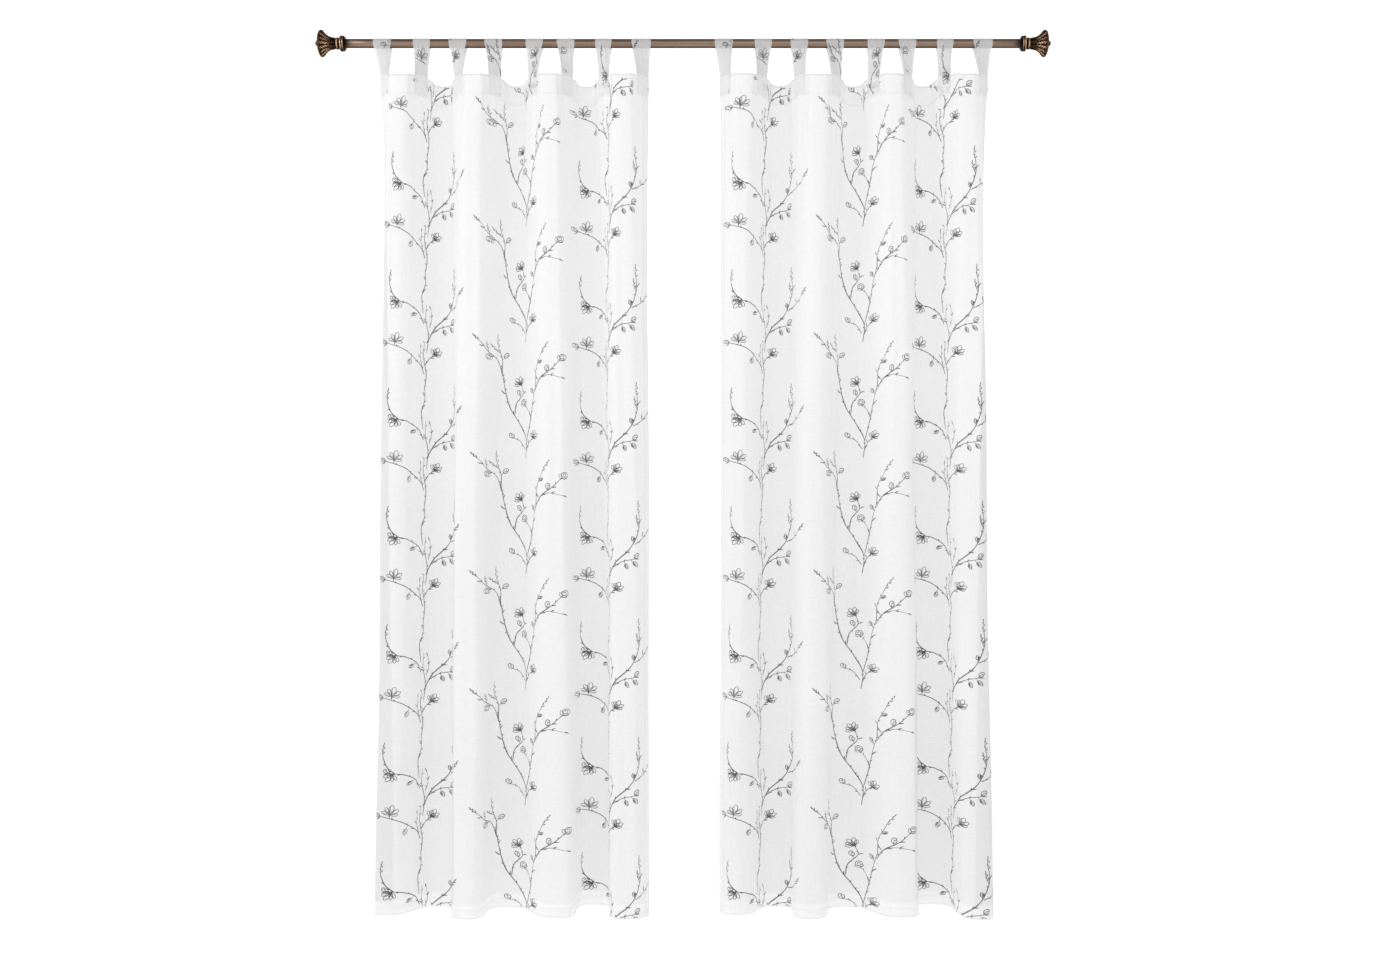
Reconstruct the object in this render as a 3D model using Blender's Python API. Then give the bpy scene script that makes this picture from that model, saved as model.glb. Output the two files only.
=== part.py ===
"""A pair of sheer voile curtains that hang by sewn tabs from one rod with flared finials.

X runs along the rod, -Y faces the room and +Z is up. The origin lies on the rod's axis, midway
between its ends. The sizes below are millimetres, and new_object turns them into metres.
"""

import math
from typing import NamedTuple

import bpy

MM = 0.001

# Rod and bracket places
ROD_RADIUS = 11.0
ROUND_SIDES = 24
ROD_HALF_SHOWN = 823.7
SEAT_CENTRES = (-790.0, 0.0, 790.0)
SEAT_LENGTH = 30.0
CLEARANCE = 0.3

# Cloth
CLOTH_THICKNESS = 1.2
HEM_THICKNESS = 2 * CLOTH_THICKNESS
PANEL_TOP = -80.0
PANEL_HEM = -2121.0
HEADING_DEPTH = 50.0
HEM_DEPTH = 25.0
STEP = 2.0

# How a panel's folds change from its top to its hem
EARLY_SHARE = 0.18
EARLY_DROP = 0.05
FOOT_EASE = 4.5
FOOT_EASE_DROP = 0.08
WANDER = 3.0
WANDER_TURNS = 1.4

# Tabs
TAB_THICKNESS = 1.0
TAB_FOOT = 28.0
TAB_GAP = 0.4
FOOT_SHARES = (0.405, 0.5, 0.595)
LEG_SHARES = (1 / 3, 2 / 3)
ARC_STEPS = 11

# Flank shares that carry a column of points, between one fold and the next
COLUMN_SHARES = (0.0, 0.14, 0.28, *FOOT_SHARES, 0.72, 0.86)


class Fold(NamedTuple):
    """One crest or trough of a panel. x is from the panel's left edge and y from the rod's axis.

    The flank fields are the sideways swing of the cloth on its way to the next fold: 0 leans
    evenly, about 14 stands straight front to back, and far more turns the cloth back on itself.
    """

    x_top: float
    x_hem: float
    y_top: float
    y_hem: float
    flank_top: float
    flank_hem: float
    top_sag: float
    hem_lift: float


LEFT_FOLDS = (
    Fold(-30, 23, 44, 10, 0, 25, 6, 7),
    Fold(58, 25, -44, -46, 0, 3, 6, 7),
    Fold(150, 142, 46, 48, 0, 11, 12, 1),
    Fold(238, 218, -46, -52, 0, 12, 6, -1),
    Fold(331, 305, 46, 50, 0, 5, 12, -2),
    Fold(419, 444, -44, -50, 0, 12, 5, 2),
    Fold(503, 521, 46, 50, 0, 13, 13, 5),
    Fold(595, 606, -46, -50, 0, 4, 6, -1),
    Fold(695, 702, 46, -10, 0, 0, 6, -1),
)

RIGHT_FOLDS = (
    Fold(-30, -24, 45, -10, 0, 2, 6, 9),
    Fold(57, 34, -45, -46, 0, 4, 5, 8),
    Fold(151, 144, 45, 47, 0, 12, 11, 1),
    Fold(239, 216, -46, -51, 0, 11, 7, 0),
    Fold(332, 308, 46, 49, 0, 5, 12, -1),
    Fold(420, 445, -44, -49, 0, 13, 5, 3),
    Fold(502, 519, 46, 51, 0, 12, 12, 6),
    Fold(594, 635, -46, -50, 0, 25, 6, -2),
    Fold(694, 637, 44, 8, 0, 0, 6, -2),
)


class Tab(NamedTuple):
    """Where a tab sits on the rod, from the panel's left edge, and its width there."""

    x: float
    width: float


TABS = (
    Tab(10, 44),
    Tab(106, 42),
    Tab(194, 43),
    Tab(281, 43),
    Tab(381, 42),
    Tab(457, 43),
    Tab(549, 40),
    Tab(641, 47),
)


class Panel(NamedTuple):
    """One curtain: its side, the x of its left edge, its folds and the phase of their wander."""

    side: str
    left: float
    folds: tuple
    phase: float


PANELS = (
    Panel("left", -742.7, LEFT_FOLDS, 0.0),
    Panel("right", 89.3, RIGHT_FOLDS, 1.9),
)


class Ring(NamedTuple):
    """One ring of a turned piece: its place along the axis, its radius and its flutes' depth."""

    along: float
    radius: float
    flute: float = 0.0


FLUTES = 8
FINIAL_BASE = 14.1
ROD_TUCKED_IN = 13.5

COLLAR_RINGS = (
    Ring(0.0, 13.0),
    Ring(1.2, 17.2),
    Ring(4.3, 18.8),
    Ring(7.0, 17.6),
    Ring(9.4, 19.5),
    Ring(12.2, 18.0),
    Ring(13.8, 14.5),
)

FINIAL_RINGS = (
    Ring(FINIAL_BASE, 11.0),
    Ring(15.8, 11.2),
    Ring(17.0, 13.6),
    Ring(19.5, 14.2),
    Ring(22.0, 13.0),
    Ring(24.0, 12.4),
    Ring(29.0, 13.3, 0.3),
    Ring(34.5, 15.6, 0.7),
    Ring(40.0, 18.4, 1.0),
    Ring(45.5, 22.2, 1.3),
    Ring(50.5, 26.4, 1.5),
    Ring(55.0, 30.6, 1.4),
    Ring(58.0, 32.4, 0.8),
    Ring(60.0, 31.6, 0.6),
    Ring(62.5, 28.4, 0.4),
    Ring(65.0, 21.5),
    Ring(66.4, 12.0),
    Ring(66.0, 5.4),
    Ring(67.5, 6.4),
    Ring(70.0, 6.1),
    Ring(72.6, 4.2),
    Ring(73.9, 1.6),
)


def remove_startup_objects():
    """Empties the scene."""
    for obj in list(bpy.data.objects):
        bpy.data.objects.remove(obj, do_unlink=True)


def new_material(name, colour, roughness, metallic=0.0, alpha=1.0):
    """A Principled material of one colour."""
    material = bpy.data.materials.new(name)
    material.use_nodes = True
    shader = material.node_tree.nodes["Principled BSDF"]
    shader.inputs["Base Color"].default_value = (*colour, 1.0)
    shader.inputs["Roughness"].default_value = roughness
    shader.inputs["Metallic"].default_value = metallic
    shader.inputs["Alpha"].default_value = alpha
    material.diffuse_color = (*colour, alpha)
    return material


def new_object(name, points, faces, material):
    """An object from points in millimetres and faces of any number of corners."""
    mesh = bpy.data.meshes.new(name)
    mesh.from_pydata([tuple(MM * value for value in point) for point in points], [], faces)
    mesh.materials.append(material)
    mesh.shade_smooth()
    mesh.set_sharp_from_angle(angle=math.radians(35))
    obj = bpy.data.objects.new(name, mesh)
    bpy.context.scene.collection.objects.link(obj)
    return obj


def thicken(obj, thickness, offset, group=None, thin_share=1.0):
    """Gives a surface its thickness: behind it where offset is -1 and before it where it is 1."""
    solid = obj.modifiers.new("Thickness", "SOLIDIFY")
    solid.thickness = thickness * MM
    solid.offset = offset
    solid.use_even_offset = True
    if group:
        solid.vertex_group = group
        solid.thickness_vertex_group = thin_share


def grid_faces(rows, columns):
    """Quads of a grid of points that is stored row by row."""
    quads = []
    for row in range(rows - 1):
        for column in range(columns - 1):
            first = row * columns + column
            below = first + columns
            quads.append((first, below, below + 1, first + 1))
    return quads


def turned(name, rings, start, outward, material, bore=None):
    """A piece turned about the X axis from start, growing outward (1 or -1), perhaps with a bore."""
    stations = list(rings)
    if bore is not None:
        stations += [Ring(rings[-1].along, bore), Ring(rings[0].along, bore)]
    points = []
    for ring in stations:
        for side in range(ROUND_SIDES):
            angle = 2 * math.pi * (side + 0.5) / ROUND_SIDES
            radius = ring.radius + ring.flute * math.cos(FLUTES * angle)
            x = start + outward * ring.along
            points.append((x, radius * math.cos(angle), radius * math.sin(angle)))
    faces = []
    last = len(stations) if bore is not None else len(stations) - 1
    for station in range(last):
        this, following = station, (station + 1) % len(stations)
        for side in range(ROUND_SIDES):
            beside = (side + 1) % ROUND_SIDES
            corners = [
                this * ROUND_SIDES + side,
                this * ROUND_SIDES + beside,
                following * ROUND_SIDES + beside,
                following * ROUND_SIDES + side,
            ]
            faces.append(corners if outward > 0 else corners[::-1])
    if bore is None:
        near = list(range(ROUND_SIDES))
        far = [last * ROUND_SIDES + side for side in near]
        faces.append(near[::-1] if outward > 0 else near)
        faces.append(far if outward > 0 else far[::-1])
    return new_object(name, points, faces, material)


def build_rod(material):
    """The plain round rod, with a ring of points at each end of the places where brackets hold it."""
    end = ROD_HALF_SHOWN + ROD_TUCKED_IN
    half_seat = SEAT_LENGTH / 2
    stations = [-end]
    for centre in SEAT_CENTRES:
        stations += [centre - half_seat, centre + half_seat]
    stations.append(end)
    rings = [Ring(x + end, ROD_RADIUS) for x in stations]
    return turned("rod", rings, -end, 1, material)


def build_finials(material):
    """A collar round each end of the rod and a fluted finial beyond it."""
    for side, outward in (("left", -1), ("right", 1)):
        start = outward * ROD_HALF_SHOWN
        bore = ROD_RADIUS + CLEARANCE
        turned(f"collar_{side}", COLLAR_RINGS, start, outward, material, bore)
        turned(f"finial_{side}", FINIAL_RINGS, start, outward, material)


def settled(drop):
    """How far the folds have gone from their shape at the top to that at the hem, at a drop of 0 to 1."""
    return EARLY_SHARE * (1 - math.exp(-drop / EARLY_DROP)) + (1 - EARLY_SHARE) * drop


def fold_place(panel, index, drop):
    """x, y and flank swing of one fold of a panel at a drop of 0 to 1."""
    fold = panel.folds[index]
    far = settled(drop)
    sway = math.sin(2 * math.pi * WANDER_TURNS * drop + 2.1 * index + panel.phase)
    x = fold.x_top + (fold.x_hem - fold.x_top) * far + WANDER * math.sin(math.pi * drop) * sway
    y = fold.y_top + (fold.y_hem - fold.y_top) * far
    flank = fold.flank_top + (fold.flank_hem - fold.flank_top) * far
    return x, y, flank


def section_point(panel, index, share, drop):
    """x and y of the cloth, a share of the way from one fold to the next, at a drop of 0 to 1."""
    x, y, flank = fold_place(panel, index, drop)
    next_x, next_y, _ = fold_place(panel, index + 1, drop)
    turn = 2 * math.pi * share
    ease = FOOT_EASE * math.exp(-drop / FOOT_EASE_DROP)
    along = x + (next_x - x) * share + flank * math.sin(turn) + ease * math.sin(2 * turn)
    return panel.left + along, y + (next_y - y) * (share - math.sin(turn) / (2 * math.pi))


def top_and_hem(panel, index, share):
    """z of the cloth's top edge, which sags between tabs, and of its hem, on one column."""
    here, beyond = panel.folds[index], panel.folds[index + 1]
    sag = (here if share < 0.5 else beyond).top_sag * math.cos(math.pi * share) ** 2
    smooth = share * share * (3 - 2 * share)
    lift = here.hem_lift + (beyond.hem_lift - here.hem_lift) * smooth
    return PANEL_TOP - sag, PANEL_HEM + lift


def cloth_point(panel, index, share, z):
    """The point of the cloth's front face on one column at height z. It hangs straight where tabs hold it."""
    top, hem = top_and_hem(panel, index, share)
    held = top - TAB_FOOT
    x, y = section_point(panel, index, share, max(0.0, (held - z) / (held - hem)))
    return x, y, z


def front_normal(panel, index, share, z):
    """The level direction in which the cloth's front face looks at one point."""
    step = 0.01
    before = cloth_point(panel, index, share - step, z)
    after = cloth_point(panel, index, share + step, z)
    dx, dy = after[0] - before[0], after[1] - before[1]
    length = math.hypot(dx, dy)
    return dy / length, -dx / length


def panel_columns(panel):
    """Each column as fold index, share and whether it lies in a side hem."""
    edge, hem_line, _ = FOOT_SHARES
    last = len(panel.folds) - 2
    columns = []
    for index in range(last + 1):
        for share in COLUMN_SHARES:
            before_edge = index == 0 and share < edge
            past_edge = index == last and share > 1 - edge
            in_side_hem = (index == 0 and share <= hem_line) or (index == last and share >= 1 - hem_line)
            if not before_edge and not past_edge:
                columns.append((index, share, in_side_hem))
    return columns


def panel_rows():
    """Each row as share of the drop, millimetres below that, and whether it lies in a heading or hem."""
    rows = [
        (0.0, 0.0, True),
        (0.0, -TAB_FOOT, True),
        (0.0, -HEADING_DEPTH, True),
        (0.0, -HEADING_DEPTH - STEP, False),
    ]
    rows += [(share, 0.0, False) for share in (0.08, 0.18, 0.30, 0.44, 0.58, 0.72, 0.86)]
    rows += [(1.0, HEM_DEPTH + STEP, False), (1.0, HEM_DEPTH, True), (1.0, 0.0, True)]
    return rows


def build_panel(panel, material):
    """One curtain panel as a single sheet, double at its heading, side hems and bottom hem."""
    columns, rows = panel_columns(panel), panel_rows()
    points, doubled = [], []
    for share_down, offset, in_hem in rows:
        for index, share, in_side_hem in columns:
            top, hem = top_and_hem(panel, index, share)
            z = top + (hem - top) * share_down + offset
            if in_hem or in_side_hem:
                doubled.append(len(points))
            points.append(cloth_point(panel, index, share, z))
    faces = grid_faces(len(rows), len(columns))
    obj = new_object(f"panel_{panel.side}", points, faces, material)
    group = obj.vertex_groups.new(name="turned_hems")
    group.add(doubled, 1.0, "REPLACE")
    thicken(obj, HEM_THICKNESS, -1, group.name, CLOTH_THICKNESS / HEM_THICKNESS)
    return obj


def foot_points(panel, index, share, offset):
    """The bottom and top point of a tab's foot on one column, offset before the cloth's front face."""
    top, _ = top_and_hem(panel, index, share)
    found = []
    for z in (top - TAB_FOOT, top):
        x, y, _ = cloth_point(panel, index, share, z)
        out_x, out_y = front_normal(panel, index, share, z)
        found.append((x + offset * out_x, y + offset * out_y, z))
    return found


def leg(foot, rod_x, touch, radius):
    """Points on a tab's straight leg, between its foot and where it meets the rod."""
    y, z = radius * math.cos(touch), radius * math.sin(touch)
    return [
        tuple(low + (high - low) * share for low, high in zip(foot, (rod_x, y, z)))
        for share in LEG_SHARES
    ]


def tab_column(panel, index, share, rod_x):
    """Points down one column of a tab: up its front, over the rod and down its back."""
    radius = ROD_RADIUS + TAB_GAP
    front = foot_points(panel, index, share, TAB_GAP)
    back = foot_points(panel, index, share, -HEM_THICKNESS - TAB_GAP)
    touches = []
    for foot, side in ((front[1], 1), (back[1], -1)):
        _, y, z = foot
        reach = math.hypot(y, z)
        touches.append(math.atan2(z, y) % (2 * math.pi) - side * math.acos(radius / reach))
    start, end = touches[0], touches[1] - 2 * math.pi
    arc = []
    for step in range(ARC_STEPS + 1):
        angle = start + (end - start) * step / ARC_STEPS
        arc.append((rod_x, radius * math.cos(angle), radius * math.sin(angle)))
    up = leg(front[1], rod_x, start, radius)
    down = leg(back[1], rod_x, end, radius)[::-1]
    return [*front, *up, *arc, *down, *back[::-1]]


def build_tab(panel, index, material):
    """One tab: a strip sewn to both sides of the heading, with the rod in its loop."""
    tab = TABS[index]
    columns = []
    for share, across in zip(FOOT_SHARES, (-0.5, 0.0, 0.5)):
        rod_x = panel.left + tab.x + across * tab.width
        columns.append(tab_column(panel, index, share, rod_x))
    points = [point for row in zip(*columns) for point in row]
    faces = grid_faces(len(columns[0]), len(columns))
    obj = new_object(f"tab_{panel.side}_{index + 1}", points, faces, material)
    thicken(obj, TAB_THICKNESS, -1)
    return obj


def main():
    """Builds the whole part."""
    remove_startup_objects()
    bronze = new_material("bronze_rod", (0.26, 0.17, 0.11), 0.38, metallic=0.85)
    cast = new_material("bronze_cast", (0.20, 0.12, 0.07), 0.45, metallic=0.85)
    voile = new_material("voile", (0.90, 0.90, 0.89), 0.9, alpha=0.6)
    build_rod(bronze)
    build_finials(cast)
    for panel in PANELS:
        build_panel(panel, voile)
        for index in range(len(TABS)):
            build_tab(panel, index, voile)


main()
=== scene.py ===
"""Looks of a pair of sheer printed voile curtains that hang by sewn tabs from one bronze rod.

Sizes are in millimetres and new_piece turns them into metres. X runs along the rod, -Y faces the
room and +Z is up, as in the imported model.
"""

import logging
import math
import random
from dataclasses import dataclass, field
from enum import Enum
from functools import cached_property
from typing import Callable, Iterable, Sequence

import bmesh
import bpy
import numpy as np
from mathutils import Matrix, Vector


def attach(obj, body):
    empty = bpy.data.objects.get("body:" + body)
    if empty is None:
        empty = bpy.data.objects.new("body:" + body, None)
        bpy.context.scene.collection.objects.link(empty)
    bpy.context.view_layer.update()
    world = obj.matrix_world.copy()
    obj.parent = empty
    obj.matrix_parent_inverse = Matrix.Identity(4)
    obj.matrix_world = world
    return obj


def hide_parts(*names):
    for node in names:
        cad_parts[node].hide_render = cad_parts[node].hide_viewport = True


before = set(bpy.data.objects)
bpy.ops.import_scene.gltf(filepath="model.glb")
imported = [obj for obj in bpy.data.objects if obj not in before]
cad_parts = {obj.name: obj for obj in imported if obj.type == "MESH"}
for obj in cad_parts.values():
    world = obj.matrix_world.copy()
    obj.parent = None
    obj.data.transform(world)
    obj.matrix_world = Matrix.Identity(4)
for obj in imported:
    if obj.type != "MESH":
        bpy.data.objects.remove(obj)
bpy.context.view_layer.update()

LOG = logging.getLogger("curtains")
MM = 0.001

Point = tuple[float, float]
Colour = tuple[float, float, float]


class Side(Enum):
    """Which end of the rod, as seen from the room."""

    LEFT = "left"
    RIGHT = "right"

    @property
    def outward(self) -> int:
        """The direction along X from the middle of the rod to this end."""
        return -1 if self is Side.LEFT else 1


class Growth(Enum):
    """What grows on a printed twig."""

    FLOWER = "flower"
    BLOSSOM = "blossom"
    ROSE = "rose"
    BUD = "bud"
    CURL = "curl"
    LEAF = "leaf"
    DASH = "dash"
    SPIKE = "spike"


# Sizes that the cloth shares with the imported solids
ROD_RADIUS = 11.0
ROD_HALF_SHOWN = 823.7
ROD_TUCKED_IN = 13.5
PANEL_TOP = -80.0
PANEL_HEM = -2121.0
HEADING_DEPTH = 50.0
HEM_DEPTH = 25.0
SIDE_HEM_WIDTH = 16.0
TAB_WIDTH = 41.0
TAB_FOOT = 28.0
TAB_SEWN = 45.5
EARLY_SHARE = 0.18
EARLY_DROP = 0.05
FOOT_EASE = 4.5
FOOT_EASE_DROP = 0.08
WANDER = 3.0
WANDER_TURNS = 1.4
EDGE_SHARE = 0.405
FOOT_HALF = 0.5 - EDGE_SHARE

# How far apart the layers of one cloth lie
PLY = 0.8
INK_LIFT = 0.35
THREAD_LIFT = 0.45


@dataclass(frozen=True)
class Fold:
    """One crest or trough of a panel: x from the panel's left edge, y from the rod's axis.

    The flank fields are the sideways swing of the cloth on its way to the next fold.
    """

    x_top: float
    x_hem: float
    y_top: float
    y_hem: float
    flank_top: float
    flank_hem: float
    top_sag: float
    hem_lift: float


@dataclass(frozen=True)
class Crease:
    """A long soft ridge in the cloth: where it starts and ends, in millimetres below the top edge."""

    column: float
    lean: float
    start: float
    end: float
    height: float
    width: float


@dataclass(frozen=True)
class Tab:
    """Where a tab sits on the rod, from the panel's left edge, and its width there."""

    x: float
    width: float


LEFT_FOLDS = (
    Fold(-30, 23, 44, 10, 0, 25, 6, 7),
    Fold(58, 25, -44, -46, 0, 3, 6, 7),
    Fold(150, 142, 46, 48, 0, 11, 12, 1),
    Fold(238, 218, -46, -52, 0, 12, 6, -1),
    Fold(331, 305, 46, 50, 0, 5, 12, -2),
    Fold(419, 444, -44, -50, 0, 12, 5, 2),
    Fold(503, 521, 46, 50, 0, 13, 13, 5),
    Fold(595, 606, -46, -50, 0, 4, 6, -1),
    Fold(695, 702, 46, -10, 0, 0, 6, -1),
)

RIGHT_FOLDS = (
    Fold(-30, -24, 45, -10, 0, 2, 6, 9),
    Fold(57, 34, -45, -46, 0, 4, 5, 8),
    Fold(151, 144, 45, 47, 0, 12, 11, 1),
    Fold(239, 216, -46, -51, 0, 11, 7, 0),
    Fold(332, 308, 46, 49, 0, 5, 12, -1),
    Fold(420, 445, -44, -49, 0, 13, 5, 3),
    Fold(502, 519, 46, 51, 0, 12, 12, 6),
    Fold(594, 635, -46, -50, 0, 25, 6, -2),
    Fold(694, 637, 44, 8, 0, 0, 6, -2),
)

LEFT_CREASES = (
    Crease(0.82, 0.05, 60, 1500, 1.9, 0.060),
    Crease(1.34, -0.10, 140, 1900, 2.2, 0.055),
    Crease(1.90, 0.04, 500, 2041, 1.6, 0.070),
    Crease(2.66, 0.10, 80, 1300, 2.0, 0.050),
    Crease(3.18, -0.06, 300, 2041, 2.4, 0.065),
    Crease(3.92, 0.06, 90, 900, 1.7, 0.050),
    Crease(4.40, -0.08, 400, 1900, 2.3, 0.060),
    Crease(5.12, 0.05, 120, 1500, 1.8, 0.055),
    Crease(5.74, -0.05, 700, 2041, 2.2, 0.060),
    Crease(6.36, 0.09, 90, 1700, 2.1, 0.055),
    Crease(6.88, -0.04, 260, 2041, 1.9, 0.070),
    Crease(7.20, 0.05, 80, 1900, 1.6, 0.050),
)

RIGHT_CREASES = (
    Crease(0.78, 0.05, 90, 1900, 1.7, 0.055),
    Crease(1.12, -0.04, 300, 2041, 2.1, 0.060),
    Crease(1.72, 0.08, 70, 1400, 2.2, 0.055),
    Crease(2.30, -0.09, 160, 1900, 2.1, 0.060),
    Crease(2.95, 0.05, 500, 2041, 1.7, 0.070),
    Crease(3.62, 0.08, 80, 1500, 2.2, 0.055),
    Crease(4.20, -0.05, 340, 2041, 2.3, 0.065),
    Crease(4.86, 0.05, 90, 1100, 1.8, 0.055),
    Crease(5.40, -0.08, 420, 1950, 2.2, 0.060),
    Crease(6.10, 0.05, 120, 1600, 1.9, 0.055),
    Crease(6.64, 0.06, 600, 2041, 2.2, 0.060),
    Crease(7.10, -0.05, 90, 1900, 2.0, 0.060),
)

TABS = (
    Tab(10, 44),
    Tab(106, 42),
    Tab(194, 43),
    Tab(281, 43),
    Tab(381, 42),
    Tab(457, 43),
    Tab(549, 40),
    Tab(641, 47),
)

# Where on the printed cloth each tab was cut, in millimetres across it and up from its hem
TAB_CUTS = (
    (10.0, 120.0),
    (38.0, 152.0),
    (125.0, 132.0),
    (268.0, 133.0),
    (326.0, 344.0),
    (447.0, 387.0),
    (30.0, 296.0),
    (205.0, 250.0),
)


# Meshes


def new_piece(
    name: str, points: np.ndarray, faces: Sequence[Sequence[int]], finish: bpy.types.Material
) -> bpy.types.Object:
    """Makes one piece of the model from points in millimetres.

    Args:
        name: The piece's name.
        points: Its points, one row each.
        faces: The corners of each face, as indices of points.
        finish: Its material.

    Returns:
        The new object.
    """
    mesh = bpy.data.meshes.new(name)
    mesh.from_pydata((np.asarray(points) * MM).tolist(), [], [list(face) for face in faces])
    mesh.materials.append(finish)
    mesh.shade_smooth()
    piece = bpy.data.objects.new(name, mesh)
    bpy.context.scene.collection.objects.link(piece)
    return piece


def set_values(piece: bpy.types.Object, name: str, values: np.ndarray) -> None:
    """Stores one number for each point of a piece, for its material to read.

    Args:
        piece: The object.
        name: The attribute's name.
        values: One number for each point.
    """
    layer = piece.data.attributes.new(name, "FLOAT", "POINT")
    layer.data.foreach_set("value", np.asarray(values, dtype=np.float32))


def set_flat_map(piece: bpy.types.Object, places: np.ndarray) -> None:
    """Stores where each point lies on the flat cloth, in metres, as a UV map.

    Args:
        piece: The object.
        places: Two numbers for each point, in millimetres.
    """
    layer = piece.data.uv_layers.new(name=VoileFinish.FLAT_MAP)
    corners = np.zeros(len(piece.data.loops), dtype=np.int32)
    piece.data.loops.foreach_get("vertex_index", corners)
    layer.data.foreach_set("uv", (places[corners] * MM).astype(np.float32).ravel())


def grid_faces(rows: int, columns: int) -> list[tuple[int, int, int, int]]:
    """Quads of a grid of points that is stored row by row.

    Args:
        rows: How many rows of points there are.
        columns: How many points each row has.

    Returns:
        The quads, which face the room where rows run down and columns run to the right.
    """
    quads = []
    for row in range(rows - 1):
        for column in range(columns - 1):
            first = row * columns + column
            below = first + columns
            quads.append((first, below, below + 1, first + 1))
    return quads


def smooth_line(stations: Sequence[Point], steps: int) -> np.ndarray:
    """A smooth line through stations, as a Catmull-Rom spline.

    Args:
        stations: The points that it passes through.
        steps: How many pieces each span is cut into.

    Returns:
        Points along it, one row each.
    """
    given = np.array(stations, dtype=float)
    padded = np.vstack([2 * given[0] - given[1], given, 2 * given[-1] - given[-2]])
    share = np.arange(steps)[:, None] / steps
    spans = []
    for index in range(1, len(padded) - 2):
        before, start, end, after = padded[index - 1 : index + 3]
        spans.append(
            0.5
            * (
                2 * start
                + (end - before) * share
                + (2 * before - 5 * start + 4 * end - after) * share**2
                + (3 * start - before - 3 * end + after) * share**3
            )
        )
    return np.vstack([*spans, given[-1:]])


def eased(low: float, high: float, value: np.ndarray) -> np.ndarray:
    """A smooth step from 0 at low to 1 at high.

    Args:
        low: Where it starts.
        high: Where it ends.
        value: The places to work it out for.

    Returns:
        The step at each place.
    """
    share = np.clip((value - low) / (high - low), 0.0, 1.0)
    return share * share * (3 - 2 * share)


# Shader nodes


class Wire:
    """One socket of a node tree that Python's operators work on."""

    def __init__(self, bench: "Bench", socket: bpy.types.NodeSocket) -> None:
        """Keeps the bench and the socket."""
        self.bench = bench
        self.socket = socket

    def _maths(self, operation: str, first: object, second: object) -> "Wire":
        """Adds one Math node and returns its output."""
        return self.bench.node("ShaderNodeMath", {"operation": operation}, {0: first, 1: second})

    def __add__(self, other: object) -> "Wire":
        """Sum."""
        return self._maths("ADD", self, other)

    __radd__ = __add__

    def __sub__(self, other: object) -> "Wire":
        """Difference."""
        return self._maths("SUBTRACT", self, other)

    def __rsub__(self, other: object) -> "Wire":
        """Difference from a number."""
        return self._maths("SUBTRACT", other, self)

    def __mul__(self, other: object) -> "Wire":
        """Product."""
        return self._maths("MULTIPLY", self, other)

    __rmul__ = __mul__


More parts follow.
